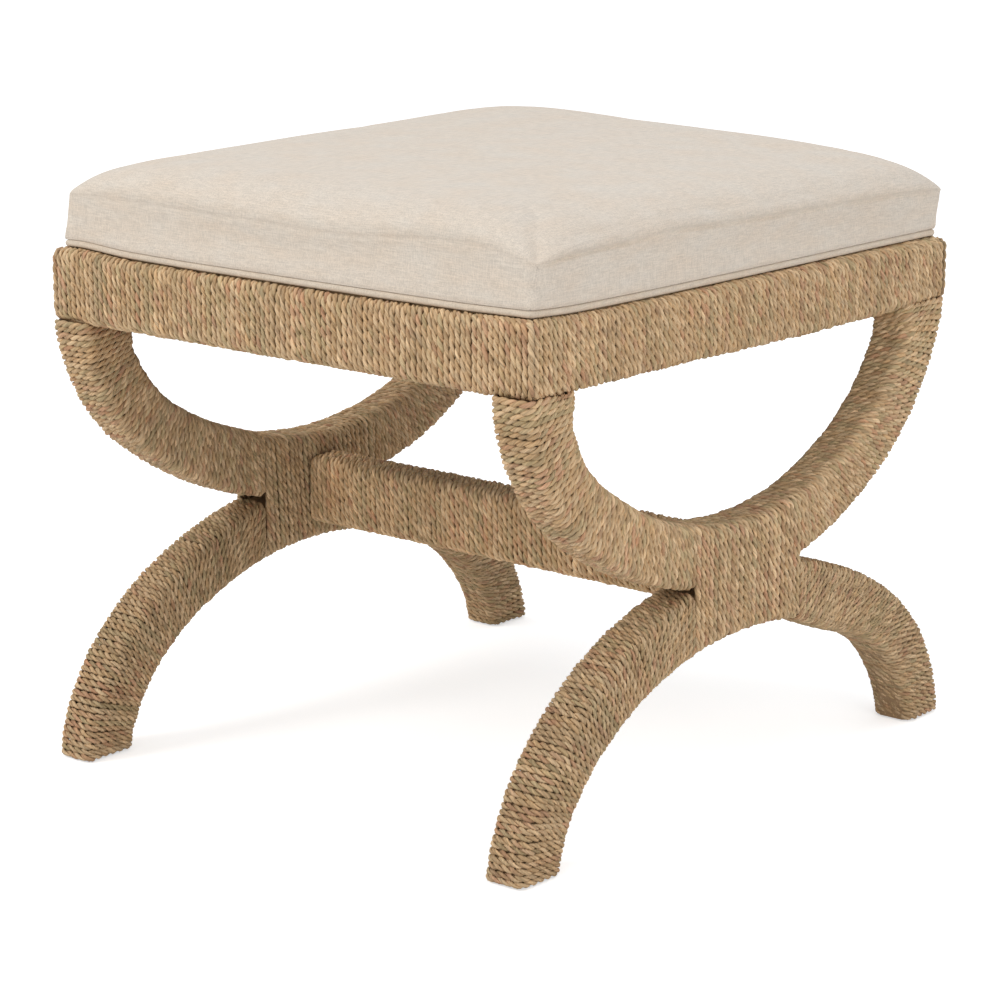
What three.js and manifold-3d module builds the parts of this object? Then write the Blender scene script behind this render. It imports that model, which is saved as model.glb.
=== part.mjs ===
// X frame stool: two pairs of half-ellipse arcs set back to back carry a rope-wound seat
// frame with a boxed cushion. Millimetres, +Z up, X along the stretcher, front at -Y,
// origin on the floor below the centre of the seat.
import * as THREE from 'three';
import { mergeVertices } from 'three/addons/utils/BufferGeometryUtils.js';
import Module from 'manifold-3d';

const wasm = await Module();
wasm.setup();

// Fits
const GAP = 0.3;
const HOLE_EASE = 0.5;
const CUT_OVERRUN = 4;

// Two-ply rope, and the bare wood that it covers
const ROPE_DIAMETER = 5.2;
const WRAP = GAP + ROPE_DIAMETER;

// Seat frame: overall sizes are over the rope, member sizes are bare wood
const APRON_WIDTH = 501;
const APRON_DEPTH = 550;
const APRON_CORNER_RADIUS = 9;
const RAIL_TOP = 420;
const RAIL_HEIGHT = 43;
const RAIL_THICKNESS = 25;
const RAIL_EDGE_RADIUS = 3;

// X frames: a half ellipse that carries the seat stands back to back on one that carries it
const FRAME_INSET = 0.5;
const ARC_THICKNESS = 28.4;
const ARC_DEPTH = 39;
const ARC_SWELL = 3;
const SWELL_REACH = 4;
const ARC_EDGE_RADIUS = 3;
const HUB_Z = 183.6;
const HUB_FLAT = 1;
const UPPER_INSET = 17.8;
const UPPER_OVERSHOOT = 28;
const LOWER_INSET = 12.5;
const LOWER_OVERSHOOT = 14.8;

// Binding round both arcs at the crossing
const BINDING_TURNS = 23;
const BINDING_PITCH = 5.9;
const BINDING_DIAMETER = 5;
const BINDING_TIGHT_PITCH = 5.45;

// Stretcher between the crossings
const STRETCHER_HEIGHT = 48;
const STRETCHER_THICKNESS = 29;
const STRETCHER_EDGE_RADIUS = 4;

// Cushion
const CUSHION_MARGIN = 8.5;
const CUSHION_CORNER_RADIUS = 9;
const CUSHION_SEAM_Z = 469;
const CUSHION_CROWN = 31;
const CUSHION_DRAW_IN = 2.4;
const CROWN_FLATNESS_X = 5;
const CROWN_FLATNESS_Y = 9;
const CROWN_ROUNDNESS = 0.46;
const COVER_THICKNESS = 2;
const WELT_DIAMETER = 5.4;
const WELT_PROUD = 1.2;
const BOARD_THICKNESS = 12;
const BOARD_CORNER_RADIUS = 8;
const DUST_COVER_THICKNESS = 0.8;
const DUST_COVER_MARGIN = 1.5;

// Corner blocks inside the seat frame
const BLOCK_LEG = 55;
const BLOCK_HEIGHT = 36;
const BLOCK_DROP = 8;
const BLOCK_SCREW_INSET = 27;
const BLOCK_SCREW_SPREAD = 16;
const BLOCK_SCREW_LENGTH = 42;
const SEAT_SCREW_INSET = 15;
const SEAT_SCREW_LENGTH = 45;
const SEAT_SCREW_BITE = 10;

// Screws
const SCREW_RADIUS = 2;
const SCREW_HEAD_RADIUS = 4;
const SCREW_HEAD_HEIGHT = 2.6;
const SCREW_TIP = 4;
const SCREW_SINK = 5;

// Long screws through the crossings into the stretcher
const LAG_RADIUS = 2.5;
const LAG_HEAD_RADIUS = 5.5;
const LAG_HEAD_HEIGHT = 4;
const LAG_BITE = 45;

// Dowels
const DOWEL_RADIUS = 5;
const DOWEL_LENGTH = 50;
const DOWEL_CHAMFER = 1;
const HUB_DOWEL_Y = 20;
const ARM_DOWEL_INSET = 29.5;

// Nail-on glides
const GLIDE_RADIUS = 11;
const GLIDE_HEIGHT = 4;
const GLIDE_PROUD = 1.5;
const GLIDE_CHAMFER = 1.2;
const GLIDE_NAIL_RADIUS = 1.2;
const GLIDE_NAIL_LENGTH = 18;

// Facets
const ARC_STEPS = 20;
const EDGE_STEPS = 2;
const HIDDEN_EDGE_STEPS = 1;
const HOLE_STEPS = 8;
const PIN_STEPS = 8;
const GLIDE_STEPS = 16;
const BINDING_SIDES = 5;
const WELT_SIDES = 6;
const CUSHION_CORNER_STEPS = 3;
const CUSHION_SIDE_STEPS = 8;

// Places worked out from the sizes above
const RAIL_WOUND_HEIGHT = RAIL_HEIGHT + 2 * WRAP;
const RAIL_BOTTOM = RAIL_TOP - RAIL_WOUND_HEIGHT;
const RAIL_MID_Z = RAIL_TOP - RAIL_WOUND_HEIGHT / 2;
const RAIL_WOUND_THICKNESS = RAIL_THICKNESS + 2 * WRAP;
const OPENING_X = APRON_WIDTH / 2 - RAIL_WOUND_THICKNESS;
const OPENING_Y = APRON_DEPTH / 2 - RAIL_WOUND_THICKNESS;
const FRAME_REACH = APRON_WIDTH / 2 - FRAME_INSET;
const FRAME_X = FRAME_REACH - WRAP - ARC_THICKNESS / 2;
const ARM_DOWEL_Y = APRON_DEPTH / 2 - ARM_DOWEL_INSET;
const FOOT_Z = GLIDE_PROUD;
const ARC_VERTEX_RISE = (ARC_DEPTH + ARC_SWELL) / 2 - HUB_FLAT;
const CUSHION_WIDTH = APRON_WIDTH - 2 * CUSHION_MARGIN;
const CUSHION_DEPTH = APRON_DEPTH - 2 * CUSHION_MARGIN;
const BINDING_HALF = (BINDING_TURNS * BINDING_PITCH + BINDING_DIAMETER) / 2;
const UP = new THREE.Vector3(0, 0, 1);
const DOWN = new THREE.Vector3(0, 0, -1);

// An arc is half an ellipse; `side` is +1 where it opens upwards and -1 where it opens downwards
const upperArc = {
  side: 1,
  spread: APRON_DEPTH / 2 - UPPER_INSET,
  centreZ: RAIL_BOTTOM + UPPER_OVERSHOOT,
  rise: RAIL_BOTTOM + UPPER_OVERSHOOT - (HUB_Z + ARC_VERTEX_RISE),
  low: HUB_Z + GAP / 2,
  high: RAIL_BOTTOM - GAP,
};
const lowerArc = {
  side: -1,
  spread: APRON_DEPTH / 2 - LOWER_INSET,
  centreZ: -LOWER_OVERSHOOT,
  rise: HUB_Z - ARC_VERTEX_RISE + LOWER_OVERSHOOT,
  low: FOOT_Z,
  high: HUB_Z - GAP / 2,
};

// Materials
const finishes = {
  linen: { color: 0xd8ccba, roughness: 0.95 },
  welt: { color: 0xd6c9b6, roughness: 0.95 },
  foam: { color: 0xe8e0c8, roughness: 1 },
  plywood: { color: 0xc9a878, roughness: 0.75 },
  cambric: { color: 0x1f1f21, roughness: 0.95 },
  seagrass: { color: 0xab9270, roughness: 0.9 },
  binding: { color: 0xa38a68, roughness: 0.9 },
  hardwood: { color: 0xb98f5f, roughness: 0.6 },
  beech: { color: 0xd9b98a, roughness: 0.6 },
  zinc: { color: 0xb9bcc0, roughness: 0.35, metalness: 0.9 },
  nylon: { color: 0x9a9184, roughness: 0.5 },
};

const stool = new THREE.Group();

function addPart(name, geometry, finish, parent = stool) {
  const material = new THREE.MeshStandardMaterial({ metalness: 0, ...finishes[finish] });
  const mesh = new THREE.Mesh(geometry, material);
  mesh.name = name;
  parent.add(mesh);
  return mesh;
}

// Booleans
function solidOf(geometry) {
  const bare = geometry.clone();
  bare.deleteAttribute('normal');
  bare.deleteAttribute('uv');
  const merged = mergeVertices(bare);
  return new wasm.Manifold(new wasm.Mesh({
    numProp: 3,
    vertProperties: new Float32Array(merged.attributes.position.array),
    triVerts: new Uint32Array(merged.index.array),
  }));
}

function geometryOf(solid) {
  const mesh = solid.getMesh();
  const geometry = new THREE.BufferGeometry();
  geometry.setAttribute('position', new THREE.BufferAttribute(mesh.vertProperties, 3));
  geometry.setIndex(new THREE.BufferAttribute(mesh.triVerts, 1));
  geometry.computeVertexNormals();
  return geometry;
}

function without(geometry, ...tools) {
  return geometryOf(tools.reduce((left, tool) => left.subtract(solidOf(tool)), solidOf(geometry)));
}

function within(geometry, ...limits) {
  return geometryOf(limits.reduce((left, limit) => left.intersect(solidOf(limit)), solidOf(geometry)));
}

function boxBetween(low, high) {
  const box = new THREE.BoxGeometry(high.x - low.x, high.y - low.y, high.z - low.z);
  return box.translate((low.x + high.x) / 2, (low.y + high.y) / 2, (low.z + high.z) / 2);
}

// A round hole or pin that starts at a point and runs along a direction
function cylinderAlong(start, direction, radius, length, steps = HOLE_STEPS) {
  const cylinder = new THREE.CylinderGeometry(radius, radius, length, steps);
  cylinder.rotateX(Math.PI / 2).translate(0, 0, length / 2);
  cylinder.applyQuaternion(new THREE.Quaternion().setFromUnitVectors(UP, direction));
  return cylinder.translate(start.x, start.y, start.z);
}

// Outlines, drawn point by point so that hidden edges can have fewer facets
function roundedRectPoints(width, height, radius, edgeSteps) {
  const points = [];
  const centres = [[1, 1], [-1, 1], [-1, -1], [1, -1]];
  centres.forEach(([x, y], corner) => {
    for (let step = 0; step <= edgeSteps; step += 1) {
      const turn = Math.PI / 2 * (corner + step / edgeSteps);
      points.push(new THREE.Vector2(
        x * (width / 2 - radius) + radius * Math.cos(turn),
        y * (height / 2 - radius) + radius * Math.sin(turn),
      ));
    }
  });
  return points;
}

function bareOutline(width, height, radius) {
  return new THREE.Shape(roundedRectPoints(width, height, radius, HIDDEN_EDGE_STEPS));
}

// A sleeve's outline: a rounded rectangle wound with rope, hollow where the wood is
function sleeveOutline(width, height, radius) {
  const woundSizes = [width + 2 * WRAP, height + 2 * WRAP, radius + WRAP];
  const hollowSizes = [width + 2 * GAP, height + 2 * GAP, radius + GAP];
  const outline = new THREE.Shape(roundedRectPoints(...woundSizes, EDGE_STEPS));
  outline.holes.push(new THREE.Path(roundedRectPoints(...hollowSizes, HIDDEN_EDGE_STEPS)));
  return outline;
}

// The centre of an arc's section, the normal that points away from the ellipse's centre, and
// half the depth of the wood, which swells towards the crossing
function arcStation(arc, turn) {
  const y = arc.spread * Math.sin(turn);
  const z = arc.centreZ - arc.side * arc.rise * Math.cos(turn);
  const normal = new THREE.Vector2(arc.rise * Math.sin(turn), -arc.side * arc.spread * Math.cos(turn));
  const half = (ARC_DEPTH + ARC_SWELL * Math.cos(turn) ** SWELL_REACH) / 2;
  return { y, z, normal: normal.normalize(), half };
}

function arcOutline(arc, skin) {
  const outer = [];
  const inner = [];
  for (let step = 0; step <= ARC_STEPS; step += 1) {
    const { y, z, normal, half } = arcStation(arc, Math.PI * (step / ARC_STEPS - 1 / 2));
    const centre = new THREE.Vector2(y, z);
    outer.push(centre.clone().addScaledVector(normal, half + skin));
    inner.push(centre.clone().addScaledVector(normal, -half - skin));
  }
  return new THREE.Shape([...outer, ...inner.reverse()]);
}

// A board sawn to an outline in the YZ plane, with its long edges rounded
function sawnBoard(outline, thickness, edgeRadius, edgeSteps) {
  const board = new THREE.ExtrudeGeometry(outline, {
    depth: thickness - 2 * edgeRadius,
    bevelThickness: edgeRadius,
    bevelSize: edgeRadius,
    bevelOffset: -edgeRadius,
    bevelSegments: edgeSteps,
  });
  board.translate(0, 0, edgeRadius - thickness / 2);
  return board.rotateZ(Math.PI / 2).rotateY(Math.PI / 2);
}

function arcBoard(arc, skin, edgeSteps = HIDDEN_EDGE_STEPS) {
  const thickness = ARC_THICKNESS + 2 * skin;
  return sawnBoard(arcOutline(arc, skin), thickness, ARC_EDGE_RADIUS + skin, edgeSteps);
}

// Turned pieces, all with their axis along Z
function turned(profile, steps) {
  const points = profile.map(([radius, z]) => new THREE.Vector2(radius, z));
  return new THREE.LatheGeometry(points, steps).rotateX(Math.PI / 2);
}

// The top of the head is at the origin and the tip points down
function screwGeometry(radius, headRadius, headHeight, length) {
  return turned([
    [0, -length],
    [radius / 2, -length + SCREW_TIP / 2],
    [radius, -length + SCREW_TIP],
    [radius, -headHeight],
    [headRadius, -headHeight / 2],
    [headRadius, 0],
    [0, 0],
  ], PIN_STEPS);
}

function dowelGeometry() {
  const half = DOWEL_LENGTH / 2;
  return turned([
    [0, -half],
    [DOWEL_RADIUS - DOWEL_CHAMFER, -half],
    [DOWEL_RADIUS, -half + DOWEL_CHAMFER],
    [DOWEL_RADIUS, half - DOWEL_CHAMFER],
    [DOWEL_RADIUS - DOWEL_CHAMFER, half],
    [0, half],
  ], PIN_STEPS);
}

function glideGeometry() {
  return turned([
    [0, 0],
    [GLIDE_RADIUS - GLIDE_CHAMFER, 0],
    [GLIDE_RADIUS, GLIDE_CHAMFER],
    [GLIDE_RADIUS, GLIDE_HEIGHT],
    [GLIDE_NAIL_RADIUS, GLIDE_HEIGHT],
    [GLIDE_NAIL_RADIUS, GLIDE_HEIGHT + GLIDE_NAIL_LENGTH - GLIDE_NAIL_RADIUS],
    [0, GLIDE_HEIGHT + GLIDE_NAIL_LENGTH],
  ], GLIDE_STEPS);
}

// Points a mesh whose axis runs down -Z along another direction
function aim(mesh, place, direction) {
  mesh.position.copy(place);
  mesh.quaternion.setFromUnitVectors(DOWN, direction);
}

// A closed skin through rings of equal count. Each ring runs anticlockwise as seen from the
// first pole. Without poles the last ring joins the first. Each quad is split along its
// shorter diagonal, so that skins inside one another have the same facets.
function loft(rings, firstPole, lastPole) {
  const count = rings[0].length;
  const points = firstPole ? [...rings.flat(), firstPole, lastPole] : rings.flat();
  const index = [];
  const at = (ring, place) => (ring % rings.length) * count + (place % count);
  const bands = firstPole ? rings.length - 1 : rings.length;
  for (let ring = 0; ring < bands; ring += 1) {
    for (let place = 0; place < count; place += 1) {
      const a = at(ring, place);
      const b = at(ring + 1, place);
      const c = at(ring + 1, place + 1);
      const d = at(ring, place + 1);
      const first = points[a].distanceTo(points[c]) < points[b].distanceTo(points[d]);
      index.push(...(first ? [a, b, c, a, c, d] : [a, b, d, b, c, d]));
    }
  }
  if (firstPole) {
    const pole = rings.length * count;
    for (let place = 0; place < count; place += 1) {
      index.push(pole, at(0, place), at(0, place + 1));
      index.push(pole + 1, at(bands, place + 1), at(bands, place));
    }
  }
  const geometry = new THREE.BufferGeometry().setFromPoints(points);
  geometry.setIndex(index);
  geometry.computeVertexNormals();
  return geometry;
}

// A ring of a round section, square to the way the path runs
function sectionRing(centre, tangent, level, radius, sides) {
  const across = new THREE.Vector3().crossVectors(tangent, level).normalize();
  const over = new THREE.Vector3().crossVectors(tangent, across).normalize();
  return Array.from({ length: sides }, (_, side) => {
    const turn = 2 * Math.PI * side / sides;
    return centre.clone()
      .addScaledVector(over, radius * Math.cos(turn))
      .addScaledVector(across, radius * Math.sin(turn));
  });
}

// Seat rails
// A rail's plan, mitred at both ends, with its outer edge on the X axis and its inside at +Y
function mitredPlan(length, thickness, cornerRadius) {
  const half = length / 2 - GAP / Math.SQRT2;
  const inner = thickness + CUT_OVERRUN;
  const plan = new THREE.Shape();
  plan.moveTo(half - inner, inner);
  plan.lineTo(inner - half, inner);
  plan.absarc(cornerRadius - half, cornerRadius, cornerRadius, 1.25 * Math.PI, 1.5 * Math.PI);
  plan.absarc(half - cornerRadius, cornerRadius, cornerRadius, 1.5 * Math.PI, 1.75 * Math.PI);
  plan.closePath();
  return plan;
}

function railPiece(outline, length, skin) {
  const bar = new THREE.ExtrudeGeometry(outline, {
    depth: length + 2 * CUT_OVERRUN,
    bevelEnabled: false,
    curveSegments: EDGE_STEPS,
  });
  bar.translate(0, 0, -length / 2 - CUT_OVERRUN).rotateZ(Math.PI / 2).rotateY(Math.PI / 2);
  bar.translate(0, skin + RAIL_THICKNESS / 2, 0);
  const height = RAIL_HEIGHT + 2 * skin + 2 * CUT_OVERRUN;
  const cornerRadius = APRON_CORNER_RADIUS - WRAP + skin;
  const plan = new THREE.ExtrudeGeometry(mitredPlan(length, RAIL_THICKNESS + 2 * skin, cornerRadius), {
    depth: height,
    bevelEnabled: false,
    curveSegments: EDGE_STEPS,
  });
  return within(bar, plan.translate(0, 0, -height / 2));
}

const railSides = [
  { name: 'front', turn: 0, length: APRON_WIDTH, reach: APRON_DEPTH / 2 },
  { name: 'right', turn: Math.PI / 2, length: APRON_DEPTH, reach: APRON_WIDTH / 2 },
  { name: 'back', turn: Math.PI, length: APRON_WIDTH, reach: APRON_DEPTH / 2 },
  { name: 'left', turn: -Math.PI / 2, length: APRON_DEPTH, reach: APRON_WIDTH / 2 },
];

// Corner blocks sit in the four inner corners; each is drawn in the corner at +X +Y and turned
const corners = [
  { name: 'back_right', x: 1, y: 1, turn: 0 },
  { name: 'back_left', x: -1, y: 1, turn: Math.PI / 2 },
  { name: 'front_left', x: -1, y: -1, turn: Math.PI },
  { name: 'front_right', x: 1, y: -1, turn: -Math.PI / 2 },
];

const BLOCK_TOP = RAIL_TOP - BLOCK_DROP;
const BLOCK_MID_Z = BLOCK_TOP - BLOCK_HEIGHT / 2;
const blockScrews = [
  { name: 'a', along: new THREE.Vector3(1, 0, 0), z: -BLOCK_SCREW_SPREAD / 2 },
  { name: 'b', along: new THREE.Vector3(0, 1, 0), z: BLOCK_SCREW_SPREAD / 2 },
];

// The top of a block screw's head, sunk below the block's sloping face
function blockScrewStart(screw) {
  const across = -BLOCK_SCREW_INSET;
  const depth = BLOCK_SCREW_INSET - BLOCK_LEG + SCREW_SINK;
  return screw.along.x
    ? new THREE.Vector3(depth, across, screw.z)
    : new THREE.Vector3(across, depth, screw.z);
}

function blockMatrix(corner) {
  const place = new THREE.Vector3(
    corner.x * (OPENING_X - GAP),
    corner.y * (OPENING_Y - GAP),
    BLOCK_MID_Z,
  );
  return new THREE.Matrix4().makeRotationZ(corner.turn).setPosition(place);
}

// Where each seat screw stands, in the block's own frame: the top of its head, pointing down
const SEAT_SCREW_HEAD_Z = RAIL_TOP + GAP + SEAT_SCREW_BITE - SEAT_SCREW_LENGTH - BLOCK_MID_Z;
const seatScrewStart = new THREE.Vector3(-SEAT_SCREW_INSET, -SEAT_SCREW_INSET, SEAT_SCREW_HEAD_Z);

// Every hole that runs through more than one piece, in the stool's own frame
const blockScrewHoles = [];
const seatScrewHoles = [];
for (const corner of corners) {
  for (const screw of blockScrews) {
    const start = blockScrewStart(screw);
    const hole = cylinderAlong(start, screw.along, SCREW_RADIUS + HOLE_EASE, BLOCK_SCREW_LENGTH + GAP);
    blockScrewHoles.push(hole.applyMatrix4(blockMatrix(corner)));
  }
  const hole = cylinderAlong(seatScrewStart, UP, SCREW_RADIUS + HOLE_EASE, SEAT_SCREW_LENGTH + GAP);
  seatScrewHoles.push(hole.applyMatrix4(blockMatrix(corner)));
}

const armDowelPlaces = corners.map(({ name, x, y }) => ({
  name,
  place: new THREE.Vector3(x * FRAME_X, y * ARM_DOWEL_Y, RAIL_BOTTOM),
}));

function dowelHole(place) {
  const length = DOWEL_LENGTH + 2 * GAP;
  const start = place.clone().setZ(place.z - length / 2);
  return cylinderAlong(start, UP, DOWEL_RADIUS + HOLE_EASE, length);
}

const armDowelHoles = armDowelPlaces.map(({ place }) => dowelHole(place));

function addRails() {
  const bare = bareOutline(RAIL_THICKNESS, RAIL_HEIGHT, RAIL_EDGE_RADIUS);
  const wound = sleeveOutline(RAIL_THICKNESS, RAIL_HEIGHT, RAIL_EDGE_RADIUS);
  for (const side of railSides) {
    const rotation = new THREE.Matrix4().makeRotationZ(side.turn);
    for (const kind of ['rail', 'rail_wrap']) {
      const skin = kind === 'rail' ? 0 : WRAP;
      const outline = kind === 'rail' ? bare : wound;
      const offset = new THREE.Vector3(0, WRAP - skin - side.reach, RAIL_MID_Z);
      offset.applyMatrix4(rotation);
      const matrix = rotation.clone().setPosition(offset);
      const back = matrix.clone().invert();
      const tools = [...blockScrewHoles, ...armDowelHoles].map((hole) => hole.clone().applyMatrix4(back));
      const length = side.length - 2 * (WRAP - skin);
      const mesh = addPart(
        `${kind}_${side.name}`,
        without(railPiece(outline, length, skin), ...tools),
        kind === 'rail' ? 'hardwood' : 'seagrass',
      );
      mesh.position.copy(offset);
      mesh.rotation.z = side.turn;
    }
  }
  for (const { name, place } of armDowelPlaces) {
    addPart(`arm_dowel_${name}`, dowelGeometry(), 'beech').position.copy(place);
  }
}

function blockGeometry() {
  const plan = new THREE.Shape();
  plan.moveTo(0, 0);
  plan.lineTo(-BLOCK_LEG, 0);
  plan.lineTo(0, -BLOCK_LEG);
  plan.closePath();
  const block = new THREE.ExtrudeGeometry(plan, { depth: BLOCK_HEIGHT, bevelEnabled: false });
  block.translate(0, 0, -BLOCK_HEIGHT / 2);
  const cuts = blockScrews.flatMap((screw) => {
    const start = blockScrewStart(screw);
    const seat = start.clone().addScaledVector(screw.along, SCREW_HEAD_HEIGHT + GAP);
    const back = screw.along.clone().negate();
    const sunk = SCREW_SINK + 2 * SCREW_HEAD_RADIUS;
    return [
      cylinderAlong(start, screw.along, SCREW_RADIUS + HOLE_EASE, BLOCK_SCREW_LENGTH),
      cylinderAlong(seat, back, SCREW_HEAD_RADIUS + HOLE_EASE, sunk),
    ];
  });
  const seatHead = seatScrewStart.clone().setZ(SEAT_SCREW_HEAD_Z + SCREW_HEAD_HEIGHT + GAP);
  cuts.push(
    cylinderAlong(seatScrewStart, UP, SCREW_RADIUS + HOLE_EASE, SEAT_SCREW_LENGTH),
    cylinderAlong(seatHead, DOWN, SCREW_HEAD_RADIUS + HOLE_EASE, BLOCK_HEIGHT),
  );
  return without(block, ...cuts);
}

function addCornerBlocks() {
  const screw = () => screwGeometry(
    SCREW_RADIUS, SCREW_HEAD_RADIUS, SCREW_HEAD_HEIGHT, BLOCK_SCREW_LENGTH,
  );
  for (const corner of corners) {
    const group = new THREE.Group();
    group.applyMatrix4(blockMatrix(corner));
    stool.add(group);
    addPart(`corner_block_${corner.name}`, blockGeometry(), 'hardwood', group);
    for (const way of blockScrews) {
      const mesh = addPart(`block_screw_${corner.name}_${way.name}`, screw(), 'zinc', group);
      aim(mesh, blockScrewStart(way), way.along);
    }
    const seatScrew = screwGeometry(
      SCREW_RADIUS, SCREW_HEAD_RADIUS, SCREW_HEAD_HEIGHT, SEAT_SCREW_LENGTH,
    );
    aim(addPart(`seat_screw_${corner.name}`, seatScrew, 'zinc', group), seatScrewStart, UP);
  }
}

// X frames, drawn with the outer face at +X and turned half round for the left one
function arcZone(arc, lowY, highY) {
  return boxBetween(
    new THREE.Vector3(-FRAME_REACH, lowY, arc.low),
    new THREE.Vector3(FRAME_REACH, highY, arc.high),
  );
}

function endOfArc(arc, z) {
  return arc.spread * Math.sqrt(1 - ((z - arc.centreZ) / arc.rise) ** 2);
}

const LEG_FOOT_Y = endOfArc(lowerArc, FOOT_Z);

const lagStart = new THREE.Vector3(ARC_THICKNESS / 2, 0, HUB_Z);
const INWARDS = new THREE.Vector3(-1, 0, 0);
const LAG_LENGTH = ARC_THICKNESS + WRAP + GAP + LAG_BITE;

function lagHole() {
  const hole = cylinderAlong(lagStart, INWARDS, LAG_RADIUS + HOLE_EASE, LAG_LENGTH + GAP);
  const seat = lagStart.clone().setX(lagStart.x - LAG_HEAD_HEIGHT - GAP);
  const outwards = INWARDS.clone().negate();
  const head = cylinderAlong(seat, outwards, LAG_HEAD_RADIUS + HOLE_EASE, LAG_HEAD_HEIGHT + CUT_OVERRUN);
  return [hole, head];
}

function arcCore(arc) {
  const reach = arc.spread + ARC_DEPTH;
  const tools = [...lagHole()];
  for (const end of [-1, 1]) {
    tools.push(dowelHole(new THREE.Vector3(0, end * HUB_DOWEL_Y, HUB_Z)));
    if (arc.side > 0) {
      tools.push(dowelHole(new THREE.Vector3(0, end * ARM_DOWEL_Y, RAIL_BOTTOM)));
    } else {
      const foot = new THREE.Vector3(0, end * LEG_FOOT_Y, 0);
      tools.push(cylinderAlong(foot, UP, GLIDE_RADIUS + HOLE_EASE, GLIDE_HEIGHT + GAP, GLIDE_STEPS));
      const nailHole = GLIDE_HEIGHT + GLIDE_NAIL_LENGTH + GAP;
      tools.push(cylinderAlong(foot, UP, GLIDE_NAIL_RADIUS + HOLE_EASE, nailHole));
    }
  }
  return without(within(arcBoard(arc, 0), arcZone(arc, -reach, reach)), ...tools);
}

function arcWrap(arc, end) {
  const near = BINDING_HALF + GAP;
  const far = arc.spread + ARC_DEPTH;
  const zone = end > 0 ? arcZone(arc, near, far) : arcZone(arc, -far, -near);
  return within(without(arcBoard(arc, WRAP, EDGE_STEPS), arcBoard(arc, GAP)), zone);
}

// The height of an arc's inside surface, the one that faces its ellipse's centre, at a given Y
function surfaceZ(arc, y) {
  let low = -Math.PI / 2;
  let high = Math.PI / 2;
  for (let pass = 0; pass < 40; pass += 1) {
    const middle = (low + high) / 2;
    const station = arcStation(arc, middle);
    if (station.y - station.normal.x * station.half < y) low = middle;
    else high = middle;
  }
  const station = arcStation(arc, low);
  return station.z - station.normal.y * station.half;
}

// The path of one turn of the binding at a given Y: corner points, and the middle of the side
// that faces the stretcher, where the turns part round the long screw
const BINDING_OFFSET = GAP + BINDING_DIAMETER / 2;
const BINDING_SIDE_X = ARC_THICKNESS / 2 + BINDING_OFFSET;
const BINDING_BEND = ARC_EDGE_RADIUS + BINDING_OFFSET;
const bindingCorners = [
  { x: -1, z: -1, from: Math.PI },
  { x: 1, z: -1, from: 1.5 * Math.PI },
  { x: 1, z: 1, from: 0 },
  { x: -1, z: 1, from: Math.PI / 2 },
];

function bindingTurn(y) {
  const top = surfaceZ(upperArc, y) + BINDING_OFFSET - BINDING_BEND;
  const bottom = surfaceZ(lowerArc, y) - BINDING_OFFSET + BINDING_BEND;
  const points = [new THREE.Vector3(-BINDING_SIDE_X, y, HUB_Z)];
  for (const corner of bindingCorners) {
    for (let step = 0; step <= EDGE_STEPS; step += 1) {
      const turn = corner.from + Math.PI / 2 * step / EDGE_STEPS;
      const reach = BINDING_BEND / Math.cos(Math.PI / 4 / EDGE_STEPS);
      points.push(new THREE.Vector3(
        corner.x * (BINDING_SIDE_X - BINDING_BEND) + reach * Math.cos(turn),
        y,
        (corner.z > 0 ? top : bottom) + reach * Math.sin(turn),
      ));
    }
  }
  return points;
}

// The turns beside the screw lie close together so that its shank passes between two of them
function partedY(y) {
  const nearest = LAG_RADIUS + BINDING_OFFSET;
  const pushed = nearest + (Math.abs(y) - BINDING_PITCH / 2) * BINDING_TIGHT_PITCH / BINDING_PITCH;
  return Math.sign(y) * Math.max(Math.abs(y), pushed);
}

function bindingPath() {
  const nominal = bindingTurn(0);
  const lengths = [0];
  nominal.forEach((point, place) => {
    const next = nominal[(place + 1) % nominal.length];
    lengths.push(lengths[place] + point.distanceTo(next));
  });
  const start = -BINDING_TURNS * BINDING_PITCH / 2;
  const path = [];
  for (let turn = 0; turn <= BINDING_TURNS; turn += 1) {
    for (let place = 0; place < nominal.length; place += 1) {
      const share = lengths[place] / lengths[nominal.length];
      const y = start + BINDING_PITCH * (turn + share);
      const point = bindingTurn(y)[place];
      if (place === 0) point.setY(partedY(y));
      path.push(point);
      if (turn === BINDING_TURNS) break;
    }
  }
  return path;
}

// The least distance between the path and its own stretches a turn away, less the diameter
function leastSelfGap(path, pointsPerTurn, diameter) {
  const closest = new THREE.Vector3();
  let least = Infinity;
  for (let place = 0; place < path.length; place += 1) {
    for (let other = place + Math.ceil(pointsPerTurn / 2); other < path.length - 1; other += 1) {
      new THREE.Line3(path[other], path[other + 1]).closestPointToPoint(path[place], true, closest);
      least = Math.min(least, closest.distanceTo(path[place]));
    }
  }
  return least - diameter;
}

function bindingGeometry(path) {
  const level = new THREE.Vector3(0, 1, 0);
  const rings = path.map((point, place) => {
    const before = path[Math.max(place - 1, 0)];
    const after = path[Math.min(place + 1, path.length - 1)];
    const tangent = new THREE.Vector3().subVectors(after, before).normalize();
    return sectionRing(point, tangent, level, BINDING_DIAMETER / 2, BINDING_SIDES);
  });
  return loft(rings, path[0], path[path.length - 1]);
}

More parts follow.
